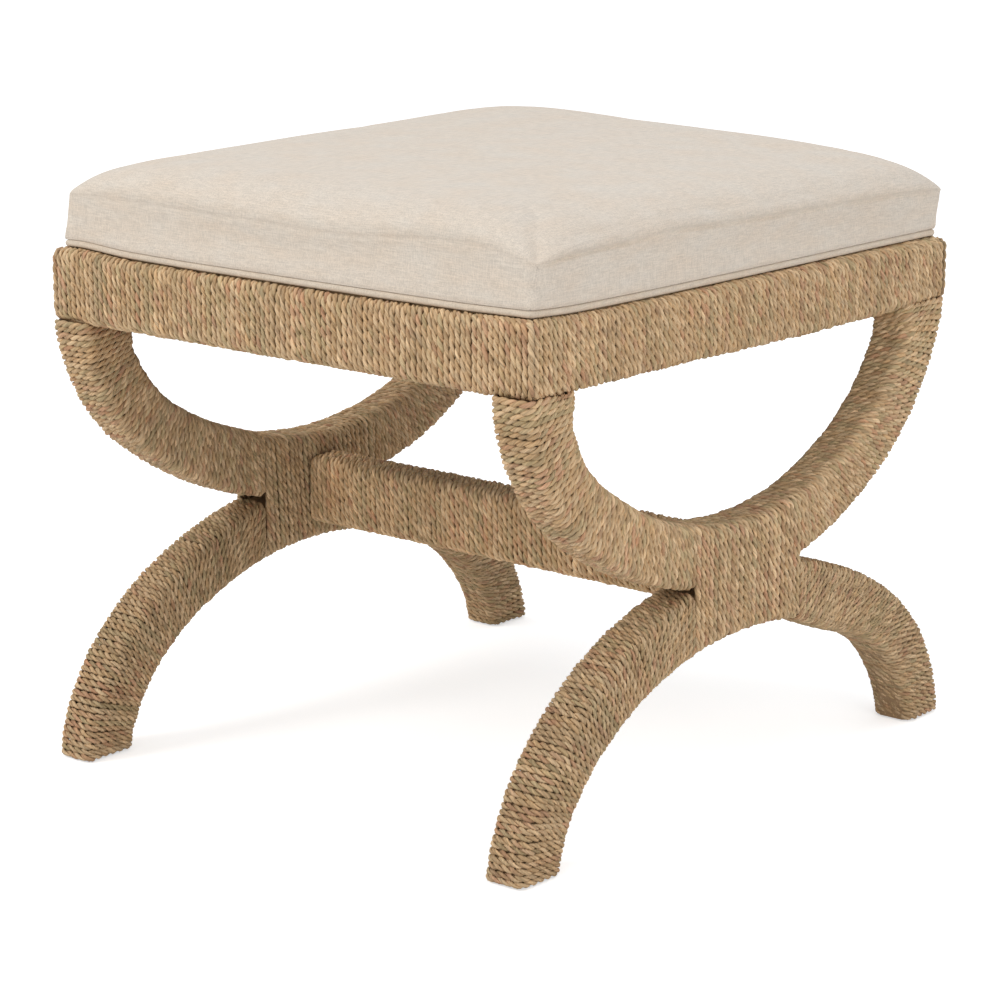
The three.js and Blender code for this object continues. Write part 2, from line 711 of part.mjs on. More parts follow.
function addFrames() {
  const path = bindingPath();
  const selfGap = leastSelfGap(path, bindingTurn(0).length, BINDING_DIAMETER);
  console.log(`hub binding: least gap between turns ${selfGap.toFixed(2)} mm`);
  for (const side of [{ name: 'right', turn: 0 }, { name: 'left', turn: Math.PI }]) {
    const frame = new THREE.Group();
    frame.rotation.z = side.turn;
    frame.position.x = FRAME_X * Math.cos(side.turn);
    stool.add(frame);
    addPart(`upper_arc_${side.name}`, arcCore(upperArc), 'hardwood', frame);
    addPart(`lower_arc_${side.name}`, arcCore(lowerArc), 'hardwood', frame);
    addPart(`hub_binding_${side.name}`, bindingGeometry(path), 'binding', frame);
    const lag = screwGeometry(LAG_RADIUS, LAG_HEAD_RADIUS, LAG_HEAD_HEIGHT, LAG_LENGTH);
    aim(addPart(`stretcher_screw_${side.name}`, lag, 'zinc', frame), lagStart, INWARDS);
    for (const end of [-1, 1]) {
      const place = `${side.name}_${end * Math.cos(side.turn) < 0 ? 'front' : 'back'}`;
      addPart(`arm_wrap_${place}`, arcWrap(upperArc, end), 'seagrass', frame);
      addPart(`leg_wrap_${place}`, arcWrap(lowerArc, end), 'seagrass', frame);
      const dowel = addPart(`hub_dowel_${place}`, dowelGeometry(), 'beech', frame);
      dowel.position.set(0, end * HUB_DOWEL_Y, HUB_Z);
      const glide = addPart(`glide_${place}`, glideGeometry(), 'nylon', frame);
      glide.position.set(0, end * LEG_FOOT_Y, 0);
    }
  }
}

// Stretcher
function addStretcher() {
  const half = FRAME_X - ARC_THICKNESS / 2 - WRAP - GAP;
  const bar = (outline) => new THREE.ExtrudeGeometry(outline, {
    depth: 2 * half,
    bevelEnabled: false,
    curveSegments: EDGE_STEPS,
  }).translate(0, 0, -half).rotateY(Math.PI / 2);
  const sizes = [STRETCHER_HEIGHT, STRETCHER_THICKNESS, STRETCHER_EDGE_RADIUS];
  const holes = [1, -1].map((end) => {
    const start = new THREE.Vector3(end * (half + CUT_OVERRUN), 0, 0);
    const inwards = new THREE.Vector3(-end, 0, 0);
    return cylinderAlong(start, inwards, LAG_RADIUS + HOLE_EASE, LAG_BITE + CUT_OVERRUN + GAP);
  });
  addPart('stretcher', without(bar(bareOutline(...sizes)), ...holes), 'hardwood').position.z = HUB_Z;
  addPart('stretcher_wrap', bar(sleeveOutline(...sizes)), 'seagrass').position.z = HUB_Z;
}

// Seat
const WELT_RADIUS = WELT_DIAMETER / 2;
const SEAT_Z = RAIL_TOP + GAP;
const COVER_RIM_Z = SEAT_Z + WELT_DIAMETER + GAP;
const WELT_INSET = WELT_RADIUS - WELT_PROUD;

// Plan points of a rounded rectangle, anticlockwise from +X, with how far each lies from the
// nearer corner as `bow`, from 0 in the corners to 1 in the middle of a side
function planRing(halfX, halfY, radius) {
  const points = [];
  const sides = [[1, 1], [-1, 1], [-1, -1], [1, -1]];
  sides.forEach(([x, y], corner) => {
    const centre = new THREE.Vector2(x * (halfX - radius), y * (halfY - radius));
    for (let step = 0; step <= CUSHION_CORNER_STEPS; step += 1) {
      const turn = Math.PI / 2 * (corner + step / CUSHION_CORNER_STEPS);
      const normal = new THREE.Vector2(Math.cos(turn), Math.sin(turn));
      points.push({ at: centre.clone().addScaledVector(normal, radius), normal, bow: 0 });
    }
    const [nextX, nextY] = sides[(corner + 1) % sides.length];
    const normal = new THREE.Vector2((x + nextX) / 2, (y + nextY) / 2);
    const from = centre.clone().addScaledVector(normal, radius);
    const to = new THREE.Vector2(nextX * (halfX - radius), nextY * (halfY - radius))
      .addScaledVector(normal, radius);
    for (let step = 1; step < CUSHION_SIDE_STEPS; step += 1) {
      const share = step / CUSHION_SIDE_STEPS;
      points.push({
        at: from.clone().lerp(to, share),
        normal,
        bow: 1 - (2 * share - 1) ** 4,
      });
    }
  });
  return points;
}

// The cushion's top and sides, `skin` inside the outer face of its cover
function crownRing(share, skin) {
  const halfX = CUSHION_WIDTH / 2 - skin;
  const halfY = CUSHION_DEPTH / 2 - skin;
  const ring = planRing(halfX * share, halfY * share, (CUSHION_CORNER_RADIUS - skin) * share);
  return ring.map(({ at }) => {
    const crownX = 1 - Math.min(Math.abs(at.x / halfX), 1) ** CROWN_FLATNESS_X;
    const crownY = 1 - Math.min(Math.abs(at.y / halfY), 1) ** CROWN_FLATNESS_Y;
    const crown = (crownX * crownY) ** CROWN_ROUNDNESS;
    return new THREE.Vector3(at.x, at.y, CUSHION_SEAM_Z - skin + CUSHION_CROWN * crown);
  });
}

function sideRing(z, skin) {
  const halfX = CUSHION_WIDTH / 2 - skin;
  const halfY = CUSHION_DEPTH / 2 - skin;
  const height = THREE.MathUtils.clamp((z - COVER_RIM_Z) / (CUSHION_SEAM_Z - COVER_RIM_Z), 0, 1);
  const pulled = CUSHION_DRAW_IN * Math.sin(Math.PI * height);
  return planRing(halfX, halfY, CUSHION_CORNER_RADIUS - skin).map(({ at, normal, bow }) => {
    const moved = at.clone().addScaledVector(normal, -pulled * bow);
    return new THREE.Vector3(moved.x, moved.y, z);
  });
}

const crown_shares = [0.25, 0.5, 0.72, 0.87, 0.96];
const side_shares = [0.82, 0.5, 0.2];

function sideLevels(top, bottom) {
  return side_shares.map((share) => bottom + (top - bottom) * share);
}

function crownPole(skin) {
  return new THREE.Vector3(0, 0, CUSHION_SEAM_Z + CUSHION_CROWN - skin);
}

function coverGeometry() {
  const inside = COVER_THICKNESS;
  const outer = [
    ...crown_shares.map((share) => crownRing(share, 0)),
    sideRing(CUSHION_SEAM_Z, 0),
    ...sideLevels(CUSHION_SEAM_Z, COVER_RIM_Z).map((z) => sideRing(z, 0)),
    sideRing(COVER_RIM_Z, 0),
  ];
  const inner = [
    ...crown_shares.map((share) => crownRing(share, inside)),
    sideRing(CUSHION_SEAM_Z - inside, inside),
    ...sideLevels(CUSHION_SEAM_Z, COVER_RIM_Z).map((z) => sideRing(z, inside)),
    sideRing(COVER_RIM_Z, inside),
  ];
  return loft([...outer, ...inner.reverse()], crownPole(0), crownPole(inside));
}

function foamGeometry() {
  const skin = COVER_THICKNESS + GAP;
  const bottom = SEAT_Z + BOARD_THICKNESS + GAP;
  const levels = sideLevels(CUSHION_SEAM_Z, COVER_RIM_Z).filter((z) => z > bottom + GAP);
  const rings = [
    ...crown_shares.map((share) => crownRing(share, skin)),
    sideRing(CUSHION_SEAM_Z - skin, skin),
    ...levels.map((z) => sideRing(z, skin)),
    sideRing(bottom, skin),
  ];
  return loft(rings, crownPole(skin), new THREE.Vector3(0, 0, bottom));
}

function weltGeometry() {
  const halfX = CUSHION_WIDTH / 2 - WELT_INSET;
  const halfY = CUSHION_DEPTH / 2 - WELT_INSET;
  const path = planRing(halfX, halfY, CUSHION_CORNER_RADIUS)
    .filter(({ bow }) => bow === 0)
    .map(({ at }) => new THREE.Vector3(at.x, at.y, SEAT_Z + WELT_RADIUS));
  const rings = path.map((point, place) => {
    const before = path[(place + path.length - 1) % path.length];
    const after = path[(place + 1) % path.length];
    const tangent = new THREE.Vector3().subVectors(after, before).normalize();
    return sectionRing(point, tangent, UP, WELT_RADIUS, WELT_SIDES);
  });
  return loft(rings);
}

function slab(halfX, halfY, radius, low, thickness, holes) {
  const plate = new THREE.ExtrudeGeometry(bareOutline(2 * halfX, 2 * halfY, radius), {
    depth: thickness,
    bevelEnabled: false,
    curveSegments: EDGE_STEPS,
  });
  return without(plate.translate(0, 0, low), ...holes);
}

function addSeat() {
  const weltInside = WELT_INSET + WELT_RADIUS + GAP;
  addPart('seat_board', slab(
    CUSHION_WIDTH / 2 - weltInside,
    CUSHION_DEPTH / 2 - weltInside,
    BOARD_CORNER_RADIUS,
    SEAT_Z,
    BOARD_THICKNESS,
    seatScrewHoles,
  ), 'plywood');
  addPart('dust_cover', slab(
    OPENING_X - DUST_COVER_MARGIN,
    OPENING_Y - DUST_COVER_MARGIN,
    DUST_COVER_MARGIN,
    RAIL_TOP - DUST_COVER_THICKNESS,
    DUST_COVER_THICKNESS,
    seatScrewHoles,
  ), 'cambric');
  addPart('seat_foam', foamGeometry(), 'foam');
  addPart('seat_cover', coverGeometry(), 'linen');
  addPart('seat_welt', weltGeometry(), 'welt');
}

addFrames();
addStretcher();
addRails();
addCornerBlocks();
addSeat();

export default stool;
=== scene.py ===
import math

import bpy
import numpy as np
from mathutils import Matrix, Vector


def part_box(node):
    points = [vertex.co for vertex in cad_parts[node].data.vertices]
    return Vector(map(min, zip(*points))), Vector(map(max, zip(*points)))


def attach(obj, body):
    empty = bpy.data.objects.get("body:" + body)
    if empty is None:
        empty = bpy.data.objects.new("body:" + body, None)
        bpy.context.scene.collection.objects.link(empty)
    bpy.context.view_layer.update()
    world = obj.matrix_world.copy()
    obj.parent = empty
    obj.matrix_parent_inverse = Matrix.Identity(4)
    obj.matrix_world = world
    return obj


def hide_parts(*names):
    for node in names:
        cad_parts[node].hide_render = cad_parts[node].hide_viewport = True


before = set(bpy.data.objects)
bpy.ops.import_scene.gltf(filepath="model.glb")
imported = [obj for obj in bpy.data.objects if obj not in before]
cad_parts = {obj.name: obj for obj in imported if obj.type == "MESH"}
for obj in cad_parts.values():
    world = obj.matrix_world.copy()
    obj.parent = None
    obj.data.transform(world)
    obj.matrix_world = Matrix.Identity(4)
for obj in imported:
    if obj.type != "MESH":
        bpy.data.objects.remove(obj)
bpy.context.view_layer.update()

# The sizes below repeat those of the part's source, in millimetres; meshes are made in metres.
MM = 0.001
GAP = 0.3
ROPE = 5.2
WRAP = GAP + ROPE
APRON_WIDTH = 501.0
APRON_DEPTH = 550.0
RAIL_TOP = 420.0
RAIL_HEIGHT = 43.0
RAIL_THICKNESS = 25.0
RAIL_BOTTOM = RAIL_TOP - RAIL_HEIGHT - 2 * WRAP
ARC_THICKNESS = 28.4
FRAME_X = APRON_WIDTH / 2 - 0.5 - WRAP - ARC_THICKNESS / 2
ARC_DEPTH = 39.0
ARC_SWELL = 3.0
VERTEX_RISE = (ARC_DEPTH + ARC_SWELL) / 2 - 1.0
HUB_Z = 183.6
FOOT_Z = 1.5
UPPER = {"side": 1, "spread": APRON_DEPTH / 2 - 17.8, "centre": RAIL_BOTTOM + 28.0,
         "rise": RAIL_BOTTOM + 28.0 - (HUB_Z + VERTEX_RISE)}
LOWER = {"side": -1, "spread": APRON_DEPTH / 2 - 12.5, "centre": -14.8,
         "rise": HUB_Z - VERTEX_RISE + 14.8}
EDGE = 3.0
ROPE_PITCH = 5.25
ROPE_LAY = 16.6
SEAM_Z = 467.5
RIM_Z = 426.0


# ---------------------------------------------------------------- meshes
def make_mesh(name, verts, quads, uvs=None, colours=None, smooth=True):
    """A mesh object from arrays of points in metres and of quads."""
    mesh = bpy.data.meshes.new(name)
    mesh.vertices.add(len(verts))
    mesh.vertices.foreach_set("co", np.ascontiguousarray(verts, dtype=np.float32).ravel())
    mesh.loops.add(quads.size)
    mesh.loops.foreach_set("vertex_index", quads.astype(np.int32).ravel())
    mesh.polygons.add(len(quads))
    mesh.polygons.foreach_set("loop_start", np.arange(0, quads.size, quads.shape[1], dtype=np.int32))
    mesh.polygons.foreach_set("use_smooth", np.full(len(quads), smooth))
    for uv_name, uv in (uvs or {}).items():
        layer = mesh.uv_layers.new(name=uv_name)
        layer.data.foreach_set("uv", uv.astype(np.float32).ravel())
    if colours is not None:
        layer = mesh.color_attributes.new("tint_and_shade", "FLOAT_COLOR", "POINT")
        layer.data.foreach_set("color", colours.astype(np.float32).ravel())
    mesh.update(calc_edges=True)
    mesh.validate()
    obj = bpy.data.objects.new(name, mesh)
    bpy.context.scene.collection.objects.link(obj)
    return obj


# ---------------------------------------------------------------- rope
def smooth_noise(rng, s, step):
    """A smooth random value from 0 to 1 along a length s."""
    knots = rng.random(int(s[-1] / step) + 4)
    at = s / step
    low = at.astype(int)
    f = at - low
    f = f * f * (3 - 2 * f)
    return knots[low] * (1 - f) + knots[low + 1] * f


def ramp(x, low, high):
    f = np.clip((x - low) / (high - low), 0, 1)
    return f * f * (3 - 2 * f)


def soft_curve(knots):
    """A smooth function of a share through knots (share, height in mm)."""
    at = np.linspace(-1, 1, 401)
    knots = np.array(knots)
    value = np.interp(at, knots[:, 0], knots[:, 1])
    kernel = np.exp(-0.5 * (np.arange(-24, 25) / 8.0) ** 2)
    value = np.convolve(np.pad(value, 24, mode="edge"), kernel / kernel.sum(), mode="valid")
    return lambda x: np.interp(x, at, value)


STRAW = np.array([0.546, 0.357, 0.187])
PALE = np.array([0.702, 0.505, 0.303])
ROSE = np.array([0.482, 0.227, 0.134])
SAGE = np.array([0.423, 0.336, 0.178])


def ply_colour(rng, s, turn):
    """Seagrass: straw, with paler, rosy and green-grey stretches along each ply."""
    pale = smooth_noise(rng, s, 22.0)
    rose = smooth_noise(rng, s, 22.0)
    sage = smooth_noise(rng, s, 60.0)
    shade = rng.normal(1.0, 0.07, int(turn.max()) + 2)[turn.astype(int)]
    colour = STRAW + (PALE - STRAW) * np.clip(pale * 1.25 - 0.15, 0, 1)[:, None]
    colour += (ROSE - colour) * (np.clip((rose - 0.71) * 2.6, 0, 0.58))[:, None]
    colour += (SAGE - colour) * (np.clip((sage - 0.62) * 2.2, 0, 0.6))[:, None]
    return colour * shade[:, None]


PLY_OFFSET = 0.45
PLY_HALF = 0.55
PLY_WIDE = 0.70
PRESSED = 1.14


def rope(name, path, outward, turn, seed, lay=ROPE_LAY, thin=1.0, painted_light=1.0, shade=0.60):
    """Two-ply rope along a path (mm). outward points away from what the rope is wound on."""
    rng = np.random.default_rng(seed)
    sides = 6
    along = np.gradient(path, axis=0)
    along /= np.linalg.norm(along, axis=1)[:, None]
    outward = outward - (outward * along).sum(1)[:, None] * along
    outward /= np.linalg.norm(outward, axis=1)[:, None]
    across = np.cross(along, outward)
    steps = np.linalg.norm(np.diff(path, axis=0), axis=1)
    s = np.concatenate([[0.0], np.cumsum(steps)])
    count = len(path)
    wobble = (smooth_noise(rng, s, 60.0) - 0.5) * 2.4
    phase = wobble - 2 * math.pi * s / lay
    size = thin * ROPE / 2 * (1 + 0.14 * (smooth_noise(rng, s, 30.0) - 0.5))
    verts, quads, main_uv, strand_uv, colours = [], [], [], [], []
    turns = int(turn.max()) + 1
    ring = np.arange(sides)
    for ply in range(2):
        phi = phase + math.pi * ply
        swell = 1 + 0.24 * (smooth_noise(rng, s, 12.0) - 0.5)
        # a ply is pressed flat against the other: long across the line between their centres
        psi = 2 * math.pi * ring / sides
        lengthwise = (size * swell)[:, None] * (PLY_OFFSET + PLY_HALF * np.cos(psi))
        sideways = (size * swell)[:, None] * PLY_WIDE * np.sin(psi)
        cosine, sine = np.cos(phi)[:, None], np.sin(phi)[:, None]
        out = lengthwise * cosine - sideways * sine
        side = PRESSED * (lengthwise * sine + sideways * cosine)
        points = path[:, None, :] + out[:, :, None] * outward[:, None, :] + side[:, :, None] * across[:, None, :]
        base = ply * count * sides
        verts.append(points.reshape(-1, 3))
        i = np.arange(count - 1)[:, None] * sides
        nxt = (ring + 1) % sides
        quad = np.stack([i + ring, i + nxt, i + sides + nxt, i + sides + ring], -1)
        quads.append(quad.reshape(-1, 4) + base)
        # painted shade: the side of each ply that faces in, towards the other ply and the member, is darkened by up to
        # shade, standing in for the shade deep in the gaps between plies and turns; the brightness factor lightens the
        # whole rope as painted light
        depth = ramp(out / size[:, None], -0.75, 0.30)
        tint_and_shade = painted_light * ply_colour(rng, s, turn)[:, None, :] * (1 - shade * (1 - depth))[:, :, None]
        colours.append(np.concatenate([tint_and_shade, np.ones((count, sides, 1))], -1).reshape(-1, 4))
        column = (turn.astype(int)[:-1, None] * 2 + ply) / (2.0 * turns)
        low = (turn - turn.astype(int))[:-1, None]
        rise = np.diff(turn)[:, None]
        left = column + (ring / sides) * 0.9 / (2.0 * turns)
        right = column + ((ring + 1) / sides) * 0.9 / (2.0 * turns)
        v0 = np.broadcast_to(low, left.shape)
        v1 = np.minimum(v0 + rise, 1.0)
        uv = np.stack([np.stack([left, v0], -1), np.stack([right, v0], -1),
                       np.stack([right, v1], -1), np.stack([left, v1], -1)], 2)
        main_uv.append(uv.reshape(-1, 2))
        s0 = np.broadcast_to((s[:-1] * MM)[:, None] + ply * 50.0, left.shape)
        s1 = np.broadcast_to((s[1:] * MM)[:, None] + ply * 50.0, left.shape)
        u0 = np.broadcast_to(ring * MM, left.shape)
        u1 = np.broadcast_to((ring + 1) * MM, left.shape)
        uv = np.stack([np.stack([u0, s0], -1), np.stack([u1, s0], -1),
                       np.stack([u1, s1], -1), np.stack([u0, s1], -1)], 2)
        strand_uv.append(uv.reshape(-1, 2))
    return make_mesh(name, np.concatenate(verts) * MM, np.concatenate(quads),
                     {"OFBake": np.concatenate(main_uv), "strand": np.concatenate(strand_uv)},
                     np.concatenate(colours))


def loop_profile(half_a, half_b, radius, step=2.5, start=0.0):
    """Points and outward normals round a rounded rectangle, from the middle of its -b side."""
    pa, pb = half_a - radius, half_b - radius
    segments = [("line", (0, -half_b), (pa, -half_b), (0, -1)),
                ("arc", (pa, -pb), -math.pi / 2), ("line", (half_a, -pb), (half_a, pb), (1, 0)),
                ("arc", (pa, pb), 0.0), ("line", (pa, half_b), (-pa, half_b), (0, 1)),
                ("arc", (-pa, pb), math.pi / 2), ("line", (-half_a, pb), (-half_a, -pb), (-1, 0)),
                ("arc", (-pa, -pb), math.pi), ("line", (-pa, -half_b), (0, -half_b), (0, -1))]
    points, normals = [], []
    for seg in segments:
        if seg[0] == "line":
            a, b = np.array(seg[1], float), np.array(seg[2], float)
            n = max(1, round(np.linalg.norm(b - a) / step))
            for k in range(n):
                points.append(a + (b - a) * k / n)
                normals.append(seg[3])
        else:
            n = max(3, round(radius * math.pi / 2 / step))
            for k in range(n):
                angle = seg[2] + math.pi / 2 * k / n
                d = np.array([math.cos(angle), math.sin(angle)])
                points.append(np.array(seg[1]) + radius * d)
                normals.append(d)
    return np.array(points), np.array(normals, float)


def wind(name, turns, profile, place, seed, step_over, hand=1.0, lay=ROPE_LAY, loops=None, painted_light=1.0,
         shade=0.60):
    """Winds turns of rope. place(w, a, b, na, nb) gives points and outward directions where w is
    the place along the member in turns; step_over(f) says how far the rope has moved on to the
    next turn at a share f of the way round."""
    rng = np.random.default_rng(seed + 1000)
    points, normals = profile
    m = len(points)
    loops = loops or turns + 2
    share = np.arange(m) / m
    k = np.repeat(np.arange(loops), m)
    f = np.tile(share, loops)
    a = np.tile(points[:, 0], loops)
    b = np.tile(points[:, 1], loops)
    na = np.tile(normals[:, 0], loops)
    nb = np.tile(normals[:, 1], loops)
    drift = np.clip(rng.normal(0, 0.035, loops + 1), -0.07, 0.07)
    drift[0] = drift[-2:] = 0
    lift = np.clip(rng.normal(0, 0.12, loops + 1), -0.25, 0.25)
    over = step_over(f)
    stray = smooth_noise(rng, 3.0 * np.arange(loops * m), 40.0) - 0.5
    at = k - 1 + over + drift[k] * (1 - over) + drift[k + 1] * over + 0.12 * stray
    w = np.clip(at, 0, turns)
    # what would run past either end is drawn thin and tucked under the turn beside it
    under = ramp(np.abs(at - w), 0.15, 0.45)
    up = lift[k] * (1 - f) + lift[k + 1] * f - 0.9 * under
    path, outward = place(w, a + na * up, b + nb * up, na, nb)
    thin = 1 - 0.15 * under
    if hand < 0:
        path, outward, thin = path[::-1], outward[::-1], thin[::-1]
        turn = (loops - (k + f))[::-1] - 1.0 / m
    else:
        turn = k + f
    return rope(name, path, outward, np.clip(turn, 0, loops - 1e-6), seed, lay, thin, painted_light, shade)


# ---------------------------------------------------------------- materials
def node_material(name):
    material = bpy.data.materials.new(name)
    material.use_nodes = True
    nodes = material.node_tree.nodes
    return material, nodes, material.node_tree.links, nodes["Principled BSDF"]


def seagrass_material():
    material, nodes, links, shader = node_material("seagrass_rope")
    # the colour attribute holds each ply's colour with painted shade on the side of each ply that faces into the rope,
    # and painted light on the stretcher
    tint_and_shade = nodes.new("ShaderNodeAttribute")
    tint_and_shade.attribute_name = "tint_and_shade"
    uv = nodes.new("ShaderNodeUVMap")
    uv.uv_map = "strand"
    mapping = nodes.new("ShaderNodeMapping")
    mapping.inputs["Scale"].default_value = (900.0, 55.0, 1.0)
    links.new(uv.outputs["UV"], mapping.inputs["Vector"])
    fibre = nodes.new("ShaderNodeTexNoise")
    fibre.inputs["Scale"].default_value = 1.0
    fibre.inputs["Detail"].default_value = 3.0
    links.new(mapping.outputs["Vector"], fibre.inputs["Vector"])
    level = nodes.new("ShaderNodeMapRange")
    level.inputs["From Min"].default_value = 0.3
    level.inputs["From Max"].default_value = 0.7
    level.inputs["To Min"].default_value = 0.60
    level.inputs["To Max"].default_value = 1.30
    links.new(fibre.outputs["Fac"], level.inputs["Value"])
    mix = nodes.new("ShaderNodeVectorMath")
    mix.operation = "SCALE"
    links.new(tint_and_shade.outputs["Color"], mix.inputs[0])
    links.new(level.outputs["Result"], mix.inputs["Scale"])
    links.new(mix.outputs["Vector"], shader.inputs["Base Color"])
    bump = nodes.new("ShaderNodeBump")
    bump.inputs["Strength"].default_value = 0.5
    bump.inputs["Distance"].default_value = 0.0004
    links.new(fibre.outputs["Fac"], bump.inputs["Height"])
    links.new(bump.outputs["Normal"], shader.inputs["Normal"])
    shader.inputs["Roughness"].default_value = 0.72
    shader.inputs["Specular IOR Level"].default_value = 0.35
    return material


def linen_material(name, colour, shade=1.0):
    """Plain-woven linen with slubs. The threads follow the object's axes on each face."""
    material, nodes, links, shader = node_material(name)
    coords = nodes.new("ShaderNodeTexCoord")
    noises = []
    for scale in ((95.0, 1100.0, 1100.0), (1100.0, 95.0, 1100.0), (1300.0, 1300.0, 160.0)):
        mapping = nodes.new("ShaderNodeMapping")
        mapping.inputs["Scale"].default_value = scale
        links.new(coords.outputs["Object"], mapping.inputs["Vector"])
        noise = nodes.new("ShaderNodeTexNoise")
        noise.inputs["Scale"].default_value = 1.0
        noise.inputs["Detail"].default_value = 2.0
        links.new(mapping.outputs["Vector"], noise.inputs["Vector"])
        noises.append(noise)
    total = noises[0].outputs["Fac"]
    for noise in noises[1:]:
        add = nodes.new("ShaderNodeMath")
        add.operation = "ADD"
        links.new(total, add.inputs[0])
        links.new(noise.outputs["Fac"], add.inputs[1])
        total = add.outputs["Value"]
    level = nodes.new("ShaderNodeMapRange")
    level.inputs["From Min"].default_value = 1.2
    level.inputs["From Max"].default_value = 1.8
    level.inputs["To Min"].default_value = 0.86
    level.inputs["To Max"].default_value = 1.11
    links.new(total, level.inputs["Value"])
    drawn = nodes.new("ShaderNodeMapping")
    drawn.inputs["Scale"].default_value = (26.0, 26.0, 90.0)
    links.new(coords.outputs["Object"], drawn.inputs["Vector"])
    cloud = nodes.new("ShaderNodeTexNoise")
    cloud.inputs["Scale"].default_value = 1.0
    cloud.inputs["Detail"].default_value = 4.0
    links.new(drawn.outputs["Vector"], cloud.inputs["Vector"])
    cloudy = nodes.new("ShaderNodeMix")
    cloudy.data_type = "RGBA"
    cloudy.inputs["A"].default_value = (colour[0] * 1.01, colour[1] * 0.95, colour[2] * 0.89, 1)
    cloudy.inputs["B"].default_value = (colour[0] * 0.985, colour[1] * 1.04, colour[2] * 1.09, 1)
    links.new(cloud.outputs["Fac"], cloudy.inputs["Factor"])
    mix = nodes.new("ShaderNodeVectorMath")
    mix.operation = "SCALE"
    links.new(cloudy.outputs["Result"], mix.inputs[0])
    links.new(level.outputs["Result"], mix.inputs["Scale"])
    links.new(mix.outputs["Vector"], shader.inputs["Base Color"])
    bump = nodes.new("ShaderNodeBump")
    bump.inputs["Strength"].default_value = 0.25
    bump.inputs["Distance"].default_value = 0.0003
    links.new(total, bump.inputs["Height"])
    links.new(bump.outputs["Normal"], shader.inputs["Normal"])
    shader.inputs["Roughness"].default_value = 0.9
    shader.inputs["Specular IOR Level"].default_value = 0.2
    shader.inputs["Sheen Weight"].default_value = 0.15
    return material


def wood_material(name, light, dark, roughness=0.6):
    material, nodes, links, shader = node_material(name)
    coords = nodes.new("ShaderNodeTexCoord")
    mapping = nodes.new("ShaderNodeMapping")
    mapping.inputs["Scale"].default_value = (60.0, 8.0, 60.0)
    links.new(coords.outputs["Object"], mapping.inputs["Vector"])
    grain = nodes.new("ShaderNodeTexNoise")
    grain.inputs["Scale"].default_value = 2.0
    grain.inputs["Detail"].default_value = 6.0
    grain.inputs["Distortion"].default_value = 0.6
    links.new(mapping.outputs["Vector"], grain.inputs["Vector"])
    colours = nodes.new("ShaderNodeValToRGB")
    colours.color_ramp.elements[0].position = 0.3
    colours.color_ramp.elements[0].color = (*dark, 1)
    colours.color_ramp.elements[1].position = 0.7
    colours.color_ramp.elements[1].color = (*light, 1)
    links.new(grain.outputs["Fac"], colours.inputs["Fac"])
    links.new(colours.outputs["Color"], shader.inputs["Base Color"])
    bump = nodes.new("ShaderNodeBump")
    bump.inputs["Strength"].default_value = 0.2
    bump.inputs["Distance"].default_value = 0.0003
    links.new(grain.outputs["Fac"], bump.inputs["Height"])
    links.new(bump.outputs["Normal"], shader.inputs["Normal"])
    shader.inputs["Roughness"].default_value = roughness
    return material


def speckled_material(name, light, dark, scale, roughness, metallic=0.0):
    material, nodes, links, shader = node_material(name)
    coords = nodes.new("ShaderNodeTexCoord")
    noise = nodes.new("ShaderNodeTexNoise")
    noise.inputs["Scale"].default_value = scale
    noise.inputs["Detail"].default_value = 4.0
    links.new(coords.outputs["Object"], noise.inputs["Vector"])
    colours = nodes.new("ShaderNodeValToRGB")
    colours.color_ramp.elements[0].position = 0.35
    colours.color_ramp.elements[0].color = (*dark, 1)
    colours.color_ramp.elements[1].position = 0.65
    colours.color_ramp.elements[1].color = (*light, 1)
    links.new(noise.outputs["Fac"], colours.inputs["Fac"])
    links.new(colours.outputs["Color"], shader.inputs["Base Color"])
    bump = nodes.new("ShaderNodeBump")
    bump.inputs["Strength"].default_value = 0.15
    bump.inputs["Distance"].default_value = 0.0002
    links.new(noise.outputs["Fac"], bump.inputs["Height"])
    links.new(bump.outputs["Normal"], shader.inputs["Normal"])
    shader.inputs["Roughness"].default_value = roughness
    shader.inputs["Metallic"].default_value = metallic
    return material


LINEN = (0.700, 0.614, 0.521)
materials = {
    "seagrass": seagrass_material(),
    "linen": linen_material("linen", LINEN),
    "welt": linen_material("linen_welt", (LINEN[0] * 0.96, LINEN[1] * 0.93, LINEN[2] * 0.88)),
    "foam": speckled_material("foam", (0.80, 0.74, 0.55), (0.70, 0.64, 0.46), 900.0, 1.0),
    "plywood": wood_material("plywood", (0.56, 0.41, 0.24), (0.42, 0.28, 0.15), 0.75),
    "cambric": speckled_material("cambric", (0.020, 0.020, 0.021), (0.008, 0.008, 0.009), 1400.0, 0.95),
    "hardwood": wood_material("hardwood", (0.42, 0.27, 0.14), (0.27, 0.16, 0.08)),
    "beech": wood_material("beech", (0.66, 0.48, 0.30), (0.53, 0.36, 0.20)),
    "zinc": speckled_material("zinc", (0.62, 0.63, 0.65), (0.48, 0.49, 0.51), 400.0, 0.35, 1.0),
    "nylon": speckled_material("nylon", (0.34, 0.31, 0.26), (0.28, 0.25, 0.21), 500.0, 0.5),
}


def finish_piece(obj, material, slot, *nodes):
    obj.data.materials.clear()
    obj.data.materials.append(materials[material])
    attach(obj, "root")
    if nodes:
        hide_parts(*nodes)
    return obj


